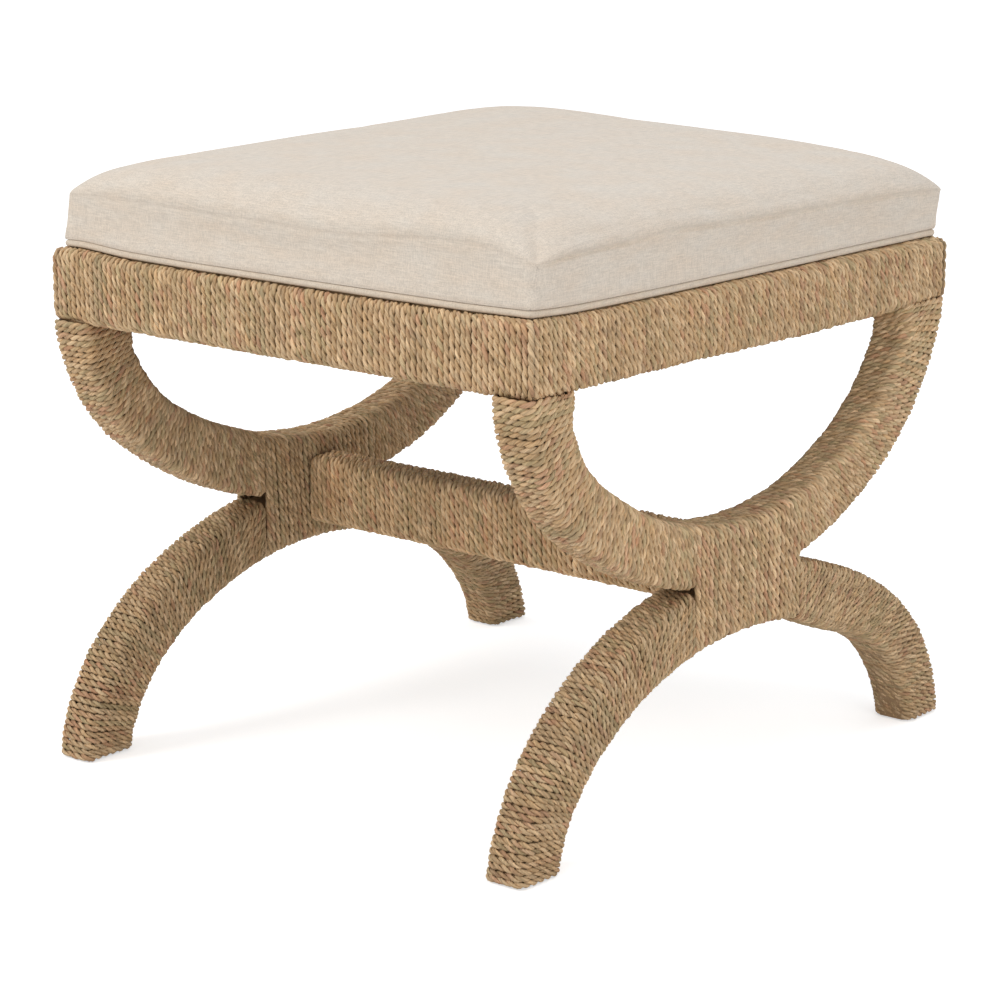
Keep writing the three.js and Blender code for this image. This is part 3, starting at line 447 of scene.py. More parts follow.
# ---------------------------------------------------------------- camera
AZIMUTH = math.radians(39.86)
ELEVATION = math.radians(14.03)
DISTANCE = 2.64119
TARGET = Vector((-0.00478, -0.00460, 0.20458))
back = Vector((math.sin(AZIMUTH) * math.cos(ELEVATION), -math.cos(AZIMUTH) * math.cos(ELEVATION), math.sin(ELEVATION)))
right = Vector((math.cos(AZIMUTH), math.sin(AZIMUTH), 0.0))
up = back.cross(right)
camera = bpy.data.objects.new("camera", bpy.data.cameras.new("camera"))
camera.data.sensor_width = 36.0
camera.data.lens = 3153.94 * 36.0 / 1000.0
camera.data.clip_end = 200.0
rotation = Matrix((right, up, back)).transposed()
camera.matrix_world = Matrix.Translation(TARGET + back * DISTANCE) @ rotation.to_4x4()
bpy.context.scene.collection.objects.link(camera)
bpy.context.scene.camera = camera


# ---------------------------------------------------------------- wound rails
ROPE_EDGE = EDGE + GAP + ROPE / 2
RAIL_MID_Z = RAIL_TOP - (RAIL_HEIGHT + 2 * WRAP) / 2
CORNER_CLEAR = {"front": 2.7, "back": 2.7, "right": 7.3, "left": 7.3}


LEVEL = soft_curve([(-1, 0.0), (1, 0.0)])
# how far the wound top edge of each rail stands above its mean height, along the rail (mm)
RAIL_CROWN = {
    "front": soft_curve([(-1, 8.0), (-0.9, 9.4), (-0.8, 7.4), (-0.7, 5.4), (-0.4, 4.4), (0.2, 4.7), (0.7, 5.4),
                         (0.9, 6.8), (1, 7.6)]),
    "right": soft_curve([(-1, 7.8), (-0.92, 6.2), (-0.8, 4.2), (-0.5, 2.6), (0.0, 1.4), (0.6, 0.8), (1, 0.0)]),
    "back": soft_curve([(-1, 0.0), (-0.3, 0.6), (0.4, 1.2), (1, 2.0)]),
    "left": soft_curve([(-1, 2.0), (-0.3, 2.6), (0.5, 4.4), (0.9, 7.6), (1, 8.0)]),
}
# how far the bottom edge of the right rail's winding hangs below its mean height (mm)
RAIL_SAG = soft_curve([(-1, 0), (-0.3, 0.3), (0, 1.6), (0.3, 2.8), (0.5, 2.0), (0.75, 1.8), (0.86, 0.4), (1, 0)])
WELT_SINKS = 0.88


def crown_at(x, y):
    """The height of the wound top edge above RAIL_TOP beside a place under the cushion (mm)."""
    share_x, share_y = x / (APRON_WIDTH / 2), y / (APRON_DEPTH / 2)
    gaps = [APRON_DEPTH / 2 + y, APRON_WIDTH / 2 - x, APRON_DEPTH / 2 - y, APRON_WIDTH / 2 + x]
    weights = [np.exp(-gap / 6.0) for gap in gaps]
    heights = [RAIL_CROWN["front"](share_x), RAIL_CROWN["right"](share_y), RAIL_CROWN["back"](-share_x),
               RAIL_CROWN["left"](-share_y)]
    return WELT_SINKS * sum(w * h for w, h in zip(weights, heights)) / sum(weights)


def rail_place(length, reach, turn_angle, turns, clear, crown, sag):
    cosine, sine = math.cos(turn_angle), math.sin(turn_angle)
    half = length / 2 - clear
    pitch = 2 * half / turns
    inner_offset = RAIL_THICKNESS + WRAP
    squeeze = RAIL_THICKNESS + GAP + ROPE

    def place(w, a, b, na, nb):
        x_outer = -half + pitch * w
        share = np.clip(np.abs(x_outer) / half, 0, 1)
        inner_half = length / 2 - squeeze - 12.6
        x_inner = x_outer - np.sign(x_outer) * (half - inner_half) * share ** 2.5
        depth = (a + (RAIL_THICKNESS / 2 + GAP + ROPE / 2)) / (RAIL_THICKNESS + 2 * GAP + ROPE)
        x = x_outer + (x_inner - x_outer) * np.clip(depth, 0, 1)
        y = -reach + RAIL_THICKNESS / 2 + WRAP + a
        # the outer face stretches up to the crown; under the cushion the rope lies on the rail
        half_height = RAIL_HEIGHT / 2 + GAP + ROPE / 2
        rise = crown(x_outer / (length / 2)) * np.clip(b / half_height + 1, 0, 2) / 2
        rise = rise * (1 - ramp(a + RAIL_THICKNESS / 2 + WRAP, 7.5, 13.0))
        rise = rise - sag(x_outer / (length / 2)) * np.clip(-b / half_height, 0, 1)
        point = np.stack([cosine * x - sine * y, sine * x + cosine * y, RAIL_MID_Z + b + rise], -1)
        normal = np.stack([-sine * na, cosine * na, nb], -1)
        return point, normal
    return place


def rail_step(f):
    # the profile starts below; the rope moves on to the next turn on the rail's inner side
    return ramp(f, 0.10, 0.45)


rail_profile = loop_profile(RAIL_THICKNESS / 2 + GAP + ROPE / 2, RAIL_HEIGHT / 2 + GAP + ROPE / 2, ROPE_EDGE)
rails = {
    "front": (APRON_WIDTH, APRON_DEPTH / 2, 0.0),
    "right": (APRON_DEPTH, APRON_WIDTH / 2, math.pi / 2),
    "back": (APRON_WIDTH, APRON_DEPTH / 2, math.pi),
    "left": (APRON_DEPTH, APRON_WIDTH / 2, -math.pi / 2),
}
for number, (side, (length, reach, angle)) in enumerate(rails.items()):
    clear = CORNER_CLEAR[side]
    turns = round((length - 2 * clear) / ROPE_PITCH)
    place = rail_place(length, reach, angle, turns, clear, RAIL_CROWN[side],
                       RAIL_SAG if side == "right" else LEVEL)
    obj = wind("rail_rope_" + side, turns, rail_profile, place, 10 + number, rail_step, loops=turns + 1)
    finish_piece(obj, "seagrass", "seagrass", "rail_wrap_" + side)


# ---------------------------------------------------------------- wound arcs
def arc_point(arc, t, offset):
    """A point of the arc at an offset outwards from its centre line, and its outward normal."""
    y = arc["spread"] * np.sin(t)
    z = arc["centre"] - arc["side"] * arc["rise"] * np.cos(t)
    ny = arc["rise"] * np.sin(t)
    nz = -arc["side"] * arc["spread"] * np.cos(t)
    size = np.hypot(ny, nz)
    reach = offset + np.sign(offset) * ARC_SWELL / 2 * np.cos(t) ** 4
    return np.stack([y + reach * ny / size, z + reach * nz / size], -1), np.stack([ny / size, nz / size], -1)


def solve_t(arc, offset, axis, value):
    """The parameter (0 to pi/2) at which the offset curve reaches a given y (0) or z (1)."""
    t = np.linspace(0.0, math.pi / 2, 4001)
    points, _ = arc_point(arc, t, offset)
    return float(t[np.argmin(np.abs(points[:, axis] - value))])


BINDING_HALF = 70.35
TIGHT = 1.2
TIGHT_FLUSH = 1.8
ROPE_OUT = ARC_DEPTH / 2 + GAP + ROPE / 2
arc_profile = loop_profile(ARC_THICKNESS / 2 + GAP + ROPE / 2, ROPE_OUT, ROPE_EDGE)


# how far hand winding stands off each arc, from the crossing (-1) to the far end (1), in mm
UNEVEN_INNER = {
    "arm_rope_left_front": soft_curve([(-1, 5.0), (-0.76, 6.5), (-0.5, 5.8), (-0.2, 4.0), (0.1, 1.0), (0.25, 0.0)]),
    "arm_rope_left_back": soft_curve([(-1, 0.5), (-0.5, -1.5), (0, -3.0), (0.6, -3.0), (1, -1.0)]),
    "arm_rope_right_front": soft_curve([(-0.1, 0.0), (0.2, -3.2), (0.44, -5.0), (0.7, -2.6), (0.86, 0.0)]),
    "arm_rope_right_back": soft_curve([(-1, 0.0), (-0.5, 1.5), (0.6, 2.0), (1, 1.0)]),
    "leg_rope_right_back": soft_curve([(-1, 1.5), (-0.8, 5.0), (-0.56, 7.2), (-0.32, 5.0), (-0.1, 0.0), (0.2, -3.6),
                                       (1, -4.5)]),
    "leg_rope_left_front": soft_curve([(-1, 0.0), (-0.4, 1.2), (1, 1.5)]),
    "leg_rope_right_front": soft_curve([(-1, 0.0), (0, 1.2), (1, 1.2)]),
}
UNEVEN_OUTER = {
    "arm_rope_left_front": soft_curve([(-1, -1.5), (-0.3, -3.2), (0, -2.0), (0.2, 0.8), (0.5, 2.2), (1, 1.2)]),
    "arm_rope_left_back": soft_curve([(-1, 0.0), (-0.5, 1.5), (0, 2.5), (0.7, 2.5), (1, 1.0)]),
    "arm_rope_right_front": soft_curve([(-0.3, 0.0), (0, 2.0), (0.3, 3.6), (0.6, 3.6), (0.85, 1.6), (1, 0.0)]),
    "arm_rope_right_back": soft_curve([(-1, 0.0), (-0.5, -1.5), (0.6, -1.5), (1, 0.0)]),
    "leg_rope_right_back": soft_curve([(-1, -2.5), (-0.6, -3.0), (-0.2, -1.0), (0.1, 2.0), (0.4, 4.4), (0.8, 4.6),
                                       (1, 3.4)]),
    "leg_rope_left_front": soft_curve([(-1, -0.8), (-0.4, -0.6), (0, 1.0), (0.6, 2.4), (1, 2.2)]),
    "leg_rope_right_front": soft_curve([(-0.4, 0.0), (0.1, -1.6), (0.8, -2.0), (1, -1.5)]),
}


def arc_place(arc, frame_side, end, turns, piece):
    hub_y = BINDING_HALF + GAP + ROPE / 2
    end_z = RAIL_BOTTOM - GAP - ROPE / 2 if arc["side"] > 0 else FOOT_Z + ROPE / 2
    outer = [solve_t(arc, ROPE_OUT, 0, hub_y), solve_t(arc, ROPE_OUT, 1, end_z)]
    inner = [solve_t(arc, -ROPE_OUT, 0, hub_y), solve_t(arc, -ROPE_OUT, 1, end_z)]

    def even(t_range, offset):
        t = np.linspace(t_range[0], t_range[1], 400)
        points, _ = arc_point(arc, t, offset)
        s = np.concatenate([[0], np.cumsum(np.linalg.norm(np.diff(points, axis=0), axis=1))])
        return lambda share: np.interp(share * s[-1], s, t)

    outer_t, inner_t = even(outer, ROPE_OUT), even(inner, -ROPE_OUT)
    uneven_inner, uneven_outer = UNEVEN_INNER.get(piece, LEVEL), UNEVEN_OUTER.get(piece, LEVEL)

    def place(w, a, b, na, nb):
        share = np.clip(w / turns, 0, 1)
        p_out, _ = arc_point(arc, outer_t(share), ROPE_OUT)
        p_in, _ = arc_point(arc, inner_t(share), -ROPE_OUT)
        middle = (p_out + p_in) / 2
        direction = (p_out - p_in) / 2
        unit = direction / np.linalg.norm(direction, axis=1)[:, None]
        stretch = direction / ROPE_OUT
        yz = middle + stretch * b[:, None]
        if arc["side"] > 0:
            # the last turns are pushed up tight under the seat frame
            flush = ramp(a / ARC_THICKNESS, 0.15, 0.5) * (1 - ramp(b / ROPE_OUT, 0.4, 0.9))
            flush = np.maximum(flush, 0.9 * ramp(b / ROPE_OUT, 0.4, 0.9))
            yz[:, 1] += (TIGHT + TIGHT_FLUSH * flush) * ramp(share, 0.6, 1.0)
            widened = -8.5 * ramp(-b / ROPE_OUT, 0.0, 1.0) * ramp(share, 0.87, 1.0)
            widened -= 1.5 * ramp(b / ROPE_OUT, 0.0, 1.0) * ramp(share, 0.95, 1.0)
            yz += unit * widened[:, None]
        along = 2 * share - 1
        uneven = uneven_outer(along) * ramp(b / ROPE_OUT, 0.0, 1.0) - uneven_inner(along) * ramp(-b / ROPE_OUT, 0.0, 1.0)
        yz += unit * uneven[:, None]
        x = frame_side * FRAME_X + a * frame_side
        point = np.stack([x, end * yz[:, 0], yz[:, 1]], -1)
        normal = np.stack([na * frame_side, end * unit[:, 0] * nb, unit[:, 1] * nb], -1)
        return point, normal

    t = np.linspace(outer[0], outer[1], 400)
    points, _ = arc_point(arc, t, ROPE_OUT)
    return place, np.linalg.norm(np.diff(points, axis=0), axis=1).sum()


def arc_step(f):
    # the rope moves on to the next turn mostly on the side that faces into the stool
    return 0.25 * f + 0.75 * ramp(f, 0.55, 0.95)


for arc, kind, name in ((UPPER, "arm", "arm_rope_"), (LOWER, "leg", "leg_rope_")):
    for x_side, x_name in ((1, "right"), (-1, "left")):
        for y_side, y_name in ((-1, "front"), (1, "back")):
            piece = name + x_name + "_" + y_name
            _, length = arc_place(arc, x_side, y_side, 1, piece)
            turns = round(length / 5.1)
            lay = ROPE_LAY if kind == "arm" else -ROPE_LAY
            place, _ = arc_place(arc, x_side, y_side, turns, piece)
            seed = 30 + 8 * (kind == "arm") + 2 * (x_side > 0) + (y_side > 0)
            hand = x_side * y_side * arc["side"]
            # the arms' plies get deeper painted shade in their gaps than the legs'
            shade = 0.70 if kind == "arm" else 0.60
            obj = wind(piece, turns, arc_profile, place, seed, arc_step, hand, lay,
                       shade=shade)
            finish_piece(obj, "seagrass", "seagrass", "%s_wrap_%s_%s" % (kind, x_name, y_name))


# ---------------------------------------------------------------- bindings at the crossings
BINDING_CROWN = {1: LEVEL, -1: soft_curve([(-1, 4.6), (-0.4, 3.4), (0.2, 2.4), (1, 1.6)])}


def binding_place(frame_side, turns):
    pitch = (2 * BINDING_HALF - ROPE) / turns
    t = np.linspace(-math.pi / 2 * 0.8, math.pi / 2 * 0.8, 4001)
    top, _ = arc_point(UPPER, t, -ARC_DEPTH / 2)
    bottom, _ = arc_point(LOWER, t, -ARC_DEPTH / 2)

    def place(w, a, b, na, nb):
        y = -BINDING_HALF + ROPE / 2 + pitch * w
        high = np.interp(y, top[:, 0], top[:, 1]) + GAP + ROPE / 2 + BINDING_CROWN[frame_side](y / BINDING_HALF)
        low = np.interp(y, bottom[:, 0], bottom[:, 1]) - GAP - ROPE / 2
        middle, half = (high + low) / 2, (high - low) / 2
        z = middle + b + np.sign(b) * (half - BINDING_REST)* np.clip(np.abs(b) / (BINDING_REST - ROPE_EDGE), 0, 1)
        point = np.stack([frame_side * FRAME_X + a * frame_side, y, z], -1)
        normal = np.stack([na * frame_side, 0 * na, nb], -1)
        return point, normal
    return place


BINDING_REST = 42.0
binding_profile = loop_profile(ARC_THICKNESS / 2 + GAP + ROPE / 2, BINDING_REST, ROPE_EDGE)
for x_side, x_name in ((1, "right"), (-1, "left")):
    turns = 24
    obj = wind("hub_rope_" + x_name, turns, binding_profile, binding_place(x_side, turns), 60 + x_side, arc_step, x_side)
    finish_piece(obj, "seagrass", "binding", "hub_binding_" + x_name)


# ---------------------------------------------------------------- stretcher
STRETCHER_HEIGHT = 48.0
STRETCHER_THICKNESS = 29.0
STRETCHER_CROWN = 2.0
stretcher_half = FRAME_X - ARC_THICKNESS / 2 - WRAP - GAP - ROPE / 2
stretcher_turns = round(2 * stretcher_half / ROPE_PITCH)


def stretcher_place(w, a, b, na, nb):
    x = -stretcher_half + 2 * stretcher_half * w / stretcher_turns
    crown = STRETCHER_CROWN * np.clip(2 * b / STRETCHER_HEIGHT, 0, 1)
    return np.stack([x, a, HUB_Z + b + crown], -1), np.stack([0 * na, na, nb], -1)


stretcher_profile = loop_profile(STRETCHER_THICKNESS / 2 + GAP + ROPE / 2, STRETCHER_HEIGHT / 2 + GAP + ROPE / 2,
                                 4.0 + GAP + ROPE / 2)
# the stretcher's rope is painted lighter, as painted light for the shade it sits in under the seat, and the gaps
# between its plies get deeper painted shade
obj = wind("stretcher_rope", stretcher_turns, stretcher_profile, stretcher_place, 70, lambda f: f, painted_light=1.24,
           shade=0.76)
finish_piece(obj, "seagrass", "seagrass", "stretcher_wrap")


# ---------------------------------------------------------------- cushion
TOP_HALF = (243.7, 266.5)
TOP_SHIFT = (3.6, 2.2)
NEAR_RADIUS = 17.0
TOP_RADIUS = 4.0
BASE_HALF = (242.9, 267.1)
BASE_RADIUS = 1.5
DRAW_IN = 2.4
TUCK = 1.1
BOARD_TOP = 432.6


def plan_ring(half_x, half_y, radius, side_steps, corner_steps):
    """Points of a rounded rectangle (mm)."""
    points = []
    corners = [(1, 1), (-1, 1), (-1, -1), (1, -1)]
    for c, (sx, sy) in enumerate(corners):
        centre = np.array([sx * (half_x - radius), sy * (half_y - radius)])
        for k in range(corner_steps + 1):
            angle = math.pi / 2 * (c + k / corner_steps)
            points.append(centre + radius * np.array([math.cos(angle), math.sin(angle)]))
        nx, ny = corners[(c + 1) % 4]
        start = points[-1]
        d = np.array([(sx + nx) / 2, (sy + ny) / 2])
        stop = np.array([nx * (half_x - radius), ny * (half_y - radius)]) + radius * d
        for k in range(1, side_steps):
            points.append(start + (stop - start) * k / side_steps)
    return np.array(points)


def shares_across(half, near_edge, step):
    """Shares from -1 to 1 across a size, dense near both edges."""
    rest = np.linspace(near_edge[-1], half, round((half - near_edge[-1]) / step) + 1)[1:]
    low = np.concatenate([near_edge, rest]) / half - 1
    return np.concatenate([low, -low[-2::-1]])


def rounded(u, v, half_x, half_y, radius):
    """Maps the square of shares u, v onto a rectangle with rounded corners (mm). The corner at
    +x, -y is the softest one."""
    radius = np.where((u > 0) & (v < 0), radius * NEAR_RADIUS / TOP_RADIUS, radius)
    s = np.maximum(np.abs(u), np.abs(v))
    r = radius * s ** 4
    x, y = half_x * np.abs(u), half_y * np.abs(v)
    into_x, into_y = x - half_x * s + r, y - half_y * s + r
    corner = (into_x > 0) & (into_y > 0)
    reach = np.maximum(np.hypot(into_x, into_y), 1e-9)
    x = np.where(corner, half_x * s - r + r * into_x / reach, x)
    y = np.where(corner, half_y * s - r + r * into_y / reach, y)
    return x * np.sign(u), y * np.sign(v)


# how far the seam of each side runs above or below its mean line
seam_waves = {
    "front": soft_curve([(-1, 1.5), (-0.6, -0.5), (-0.1, -1.5), (0.1, -3), (0.25, -2.5), (0.41, 1), (0.63, 5),
                         (0.77, 6), (0.87, 4), (0.97, -2), (1, -4)]),
    "right": soft_curve([(-1, -4), (-0.97, -3), (-0.9, 0), (-0.78, -0.5), (-0.6, 0.3), (-0.38, 3), (-0.12, 1),
                         (0.39, -0.5), (0.94, -1), (1, -1)]),
    "back": soft_curve([(-1, 0), (-0.7, 0.8), (-0.2, -0.6), (0.3, 0.7), (0.7, -0.5), (1, -1)]),
    "left": soft_curve([(-1, 1.5), (-0.6, -0.6), (-0.1, 0.7), (0.4, -0.6), (0.8, 0.5), (1, 0)]),
}


def crown_height(u, v):
    """Height (mm) of the top above the mean line of its seam, at shares of the half sizes."""
    a, b = np.abs(u), np.abs(v)
    softer = 0.14 * ramp(u, 0, 1) * ramp(-v, 0, 1) * (a * b) ** 6
    dome = np.maximum((1 - a ** 4.9) * (1 - b ** 10), 0) ** (0.46 + softer) * (1 + 0.035 * (a * a + b * b))
    weights = [np.exp(-(1 + v) * TOP_HALF[1] / 45), np.exp(-(1 - u) * TOP_HALF[0] / 45),
               np.exp(-(1 - v) * TOP_HALF[1] / 45), np.exp(-(1 + u) * TOP_HALF[0] / 45)]
    waves = [seam_waves["front"](u), seam_waves["right"](v), seam_waves["back"](u), seam_waves["left"](v)]
    wave = sum(w * w * e for w, e in zip(weights, waves)) / sum(weights)
    return 4.4 * (1 - (a * b) ** 8) + 27.8 * dome - 3.8 * u - 0.6 * v - 3.4 * u * v + wave


def boundary(nu, nv):
    """Places of the grid's edge, anticlockwise from above."""
    return ([(i, 0) for i in range(nu - 1)] + [(nu - 1, j) for j in range(nv - 1)]
            + [(i, nv - 1) for i in range(nu - 1, 0, -1)] + [(0, j) for j in range(nv - 1, 0, -1)])


def cushion_form(us, vs, hs, skin=0.0, slack=0.0):
    """The top as a grid of points, and rings of points down the sides, in millimetres."""
    u, v = np.meshgrid(us, vs, indexing="ij")
    x, y = rounded(u, v, TOP_HALF[0] - skin, TOP_HALF[1] - skin, TOP_RADIUS)
    soft = ramp((1 - np.abs(u)) * TOP_HALF[0], 15, 115) * ramp((1 - np.abs(v)) * TOP_HALF[1], 15, 115)
    top = np.stack([x + TOP_SHIFT[0], y + TOP_SHIFT[1], SEAM_Z - skin + crown_height(u, v) - slack * soft], -1)
    edge = np.array(boundary(len(us), len(vs)))
    eu, ev = us[edge[:, 0]], vs[edge[:, 1]]
    top_z = top[edge[:, 0], edge[:, 1], 2]
    normal = np.stack([np.where(np.abs(eu) >= np.abs(ev), np.sign(eu), 0),
                       np.where(np.abs(ev) > np.abs(eu), np.sign(ev), 0)], -1)
    along = np.minimum(np.abs(eu), np.abs(ev))
    bow = 1 - along ** 4
    rows = []
    for h in hs:
        half = [b + (t - b) * h - skin for b, t in zip(BASE_HALF, TOP_HALF)]
        x, y = rounded(eu, ev, half[0], half[1], BASE_RADIUS + (TOP_RADIUS - BASE_RADIUS) * ramp(h, 0.0, 0.45))
        pulled = (DRAW_IN + 0.5 * slack) * math.sin(math.pi * h) * bow + TUCK * (1 - ramp(h, 0.0, 0.07))
        x, y = x - normal[:, 0] * pulled, y - normal[:, 1] * pulled
        rim_z = RIM_Z + crown_at(x, y)
        rows.append(np.stack([x + TOP_SHIFT[0] * h, y + TOP_SHIFT[1] * h, rim_z + (top_z - rim_z) * h], -1))
    return top, np.array(rows)


def cushion_mesh(name, top, rows, lining=None):
    """Joins the grid and the rings, and, where it is given, a lining inside them up to a pole."""
    nu, nv = top.shape[:2]
    verts = [top.reshape(-1, 3)]
    i, j = np.meshgrid(np.arange(nu - 1), np.arange(nv - 1), indexing="ij")
    quads = [np.stack([i * nv + j, (i + 1) * nv + j, (i + 1) * nv + j + 1, i * nv + j + 1], -1).reshape(-1, 4)]
    before = np.array([i * nv + j for i, j in boundary(nu, nv)])
    total = nu * nv
    for row in list(rows) + list(lining if lining is not None else []):
        here = total + np.arange(len(row))
        quads.append(np.stack([before, here, np.roll(here, -1), np.roll(before, -1)], -1))
        verts.append(row)
        total += len(row)
        before = here
    return make_mesh(name, np.concatenate(verts) * MM, np.concatenate(quads))


def cubic_weights(coarse, fine):
    """Weights that carry values at the coarse places over to the fine ones, by cubic curves."""
    at = np.interp(fine, coarse, np.arange(len(coarse)))
    low = np.minimum(at.astype(int), len(coarse) - 2)
    f = at - low
    weights = np.zeros((len(fine), len(coarse)))
    for shift, w in ((-1, -0.5 * f + f ** 2 - 0.5 * f ** 3), (0, 1 - 2.5 * f ** 2 + 1.5 * f ** 3),
                     (1, 0.5 * f + 2 * f ** 2 - 1.5 * f ** 3), (2, -0.5 * f ** 2 + 0.5 * f ** 3)):
        column = np.clip(low + shift, 0, len(coarse) - 1)
        np.add.at(weights, (np.arange(len(fine)), column), w)
    return weights


SIM_U = shares_across(TOP_HALF[0], [0.0, 5.0], 6.2)
SIM_V = shares_across(TOP_HALF[1], [0.0, 5.0], 6.2)
SIM_H = np.linspace(1, 0, 9)[1:]
NEAR = [0.0, 0.7, 1.4, 2.2, 3.2, 4.5, 6.0, 8.0, 10.5, 13.5, 17.0, 21.0]
FINE_U = shares_across(TOP_HALF[0], NEAR, 4.3)
FINE_V = shares_across(TOP_HALF[1], NEAR, 4.3)
FINE_H = 1 - np.array([0.5, 1.0, 1.6, 2.3, 3.1, 4, 5, 6.3, 8, 10, 12.5, 15, 18, 21, 24, 27, 30, 33, 35.6, 37.8,
                       39.4, 40.5, 41.3, 42.0]) / 42.0
SLACK = 4.8
CAP = 5.0


def puffed():
    """How far air pressure moves the cloth of the cover (mm), as a grid and as rings."""
    top, rows = cushion_form(SIM_U, SIM_V, SIM_H, slack=SLACK)
    obj = cushion_mesh("cushion_sim", top, rows)
    start = np.concatenate([top.reshape(-1, 3), rows.reshape(-1, 3)])
    held = obj.vertex_groups.new(name="held")
    edge = len(rows[0])
    held.add(list(range(len(start) - edge, len(start))), 1.0, "REPLACE")
    held.add([i * len(SIM_V) + j for i, j in boundary(len(SIM_U), len(SIM_V))], 0.55, "REPLACE")
    cloth = obj.modifiers.new("cloth", "CLOTH")
    settings = cloth.settings
    settings.quality = 6
    settings.mass = 0.3
    settings.tension_stiffness = settings.compression_stiffness = 1000
    settings.shear_stiffness = 100
    settings.bending_stiffness = 2
    settings.use_pressure = True
    settings.uniform_pressure_force = 4.0
    settings.effector_weights.gravity = 0.0
    settings.vertex_group_mass = "held"
    cloth.collision_settings.use_collision = False
    cloth.collision_settings.use_self_collision = False
    scene = bpy.context.scene
    for number in range(1, 21):
        scene.frame_set(number)
    result = obj.evaluated_get(bpy.context.evaluated_depsgraph_get()).to_mesh()
    moved = np.empty(3 * len(start), dtype=np.float32)
    result.vertices.foreach_get("co", moved)
    moved = moved.reshape(-1, 3).astype(float) / MM - start
    scene.frame_set(1)
    mesh = obj.data
    bpy.data.objects.remove(obj)
    bpy.data.meshes.remove(mesh)
    far = np.linalg.norm(moved, axis=1)
    print("cloth moved", far.mean(), far.max(), "top middle", moved[len(SIM_U) // 2 * len(SIM_V) + len(SIM_V) // 2])
    moved *= min(1.0, CAP / far.max())
    count = len(SIM_U) * len(SIM_V)
    return moved[:count].reshape(top.shape), moved[count:].reshape(rows.shape)


def carried(move_top, move_rows):
    """Carries the cloth's movement over to the fine grid and rings."""
    wu, wv = cubic_weights(SIM_U, FINE_U), cubic_weights(SIM_V, FINE_V)
    wh = cubic_weights(-np.concatenate([[1.0], SIM_H]), -FINE_H)
    top = np.einsum("ai,ijc,bj->abc", wu, move_top, wv)
    edge = [move_top[i, j] for i, j in boundary(len(SIM_U), len(SIM_V))]
    rows = np.concatenate([np.array(edge)[None], move_rows])
    rows = np.einsum("ah,hkc->akc", wh, rows)
    parts, first = [], 0
    for count, weights in ((len(SIM_U), wu), (len(SIM_V), wv), (len(SIM_U), wu), (len(SIM_V), wv)):
        side = np.take(rows, range(first, first + count), axis=1, mode="wrap")
        parts.append(np.einsum("bk,akc->abc", weights, side)[:, :-1])
        first += count - 1
    return top, np.concatenate(parts, axis=1)


right_seam = soft_curve([(-1, 0.2), (-0.93, 1.0), (-0.6, 1.0), (-0.42, 0.45), (-0.3, 0.9), (-0.1, 0.7), (0.1, 0.9),
                         (0.3, 0.6), (0.6, 0.8), (0.9, 0.5), (1, 0.2)])


def seam_weight(u, v):
    """How strongly the top overhangs the side panel along its seam."""
    if u == 1:
        return float(right_seam(v))
    fade = 0.15 + 0.85 * float(1 - max(min(abs(u), abs(v)), 0.8) * 5 + 4)
    return (0.22 if v == -1 else 0.6) * fade


def sew_seam(top, rows):
    """Lets the top overhang its seam a little, with small puckers, and tucks the side panels in."""
    rng = np.random.default_rng(7)
    edge = boundary(len(FINE_U), len(FINE_V))
    ring = np.array([top[i, j] for i, j in edge])
    step = np.linalg.norm(np.roll(ring, -1, axis=0) - ring, axis=1)
    s = np.concatenate([[0], np.cumsum(step)[:-1]])
    knots = rng.random(int(s[-1] / 9) + 3)
    pucker = np.interp(s / 9, np.arange(len(knots)), knots) - 0.5
    weight = np.array([seam_weight(FINE_U[i], FINE_V[j]) for i, j in edge])
    weight *= 1 + 0.3 * pucker

    def groove(d, k):
        return (weight[k] * (0.9 * np.exp(-(d / 2.2) ** 2) - 0.5 * np.exp(-((d - 5.5) / 2.5) ** 2))
                + 0.3 * pucker[k] * np.exp(-((d - 4.0) / 4.0) ** 2))

    def tucked(d, k):
        return -weight[k] * 2.9 * np.exp(-((d - 2.8) / 1.9) ** 2)

    u, v = np.meshgrid(FINE_U, FINE_V, indexing="ij")
    du, dv = (1 - np.abs(u)) * TOP_HALF[0], (1 - np.abs(v)) * TOP_HALF[1]
    d = np.minimum(du, dv)
    i, j = np.meshgrid(np.arange(len(FINE_U)), np.arange(len(FINE_V)), indexing="ij")
    to_side = du < dv
    near_i = np.where(to_side, np.where(u > 0, len(FINE_U) - 1, 0), i)
    near_j = np.where(to_side, j, np.where(v > 0, len(FINE_V) - 1, 0))
    place = np.zeros((len(FINE_U), len(FINE_V)), dtype=int)
    for number, (a, b) in enumerate(edge):
        place[a, b] = number
    k = place[near_i, near_j]
    out = np.stack([np.where(to_side, np.sign(u), 0), np.where(to_side, 0, np.sign(v)), np.ones_like(u)], -1)
    out /= np.linalg.norm(out, axis=-1)[..., None]
    amount = np.where(d < 14, groove(d, k), 0)
    top = top + out * amount[..., None]
    numbers = np.arange(len(edge))
    i, j = np.array(edge).T
    flat = out[i, j] * [1, 1, 0] * math.sqrt(2)
    for n, row in enumerate(rows):
        d = np.linalg.norm(row - ring, axis=1)
        amount = np.where(d < 16, tucked(d, numbers), 0)
        rows[n] = row + flat * amount[:, None]
    return top, rows


def lining_rings(rim, top_z):
    """From the rim up inside the side panels and in over the foam, to the middle."""
    centre = np.array([TOP_SHIFT[0], TOP_SHIFT[1]])
    rings = []
    for share, z in ((0.985, RIM_Z), (0.985, RIM_Z + 20), (0.98, 0.0), (0.9, 6.0), (0.75, 14.0), (0.5, 20.0),
                     (0.25, 23.0), (0.001, 24.0)):
        at = centre + (rim[:, :2] - centre) * share
        level = rim[:, 2] + z - RIM_Z if z > 100 else top_z - 3.5 + z * 0.9
        rings.append(np.column_stack([at, level]))
    return rings


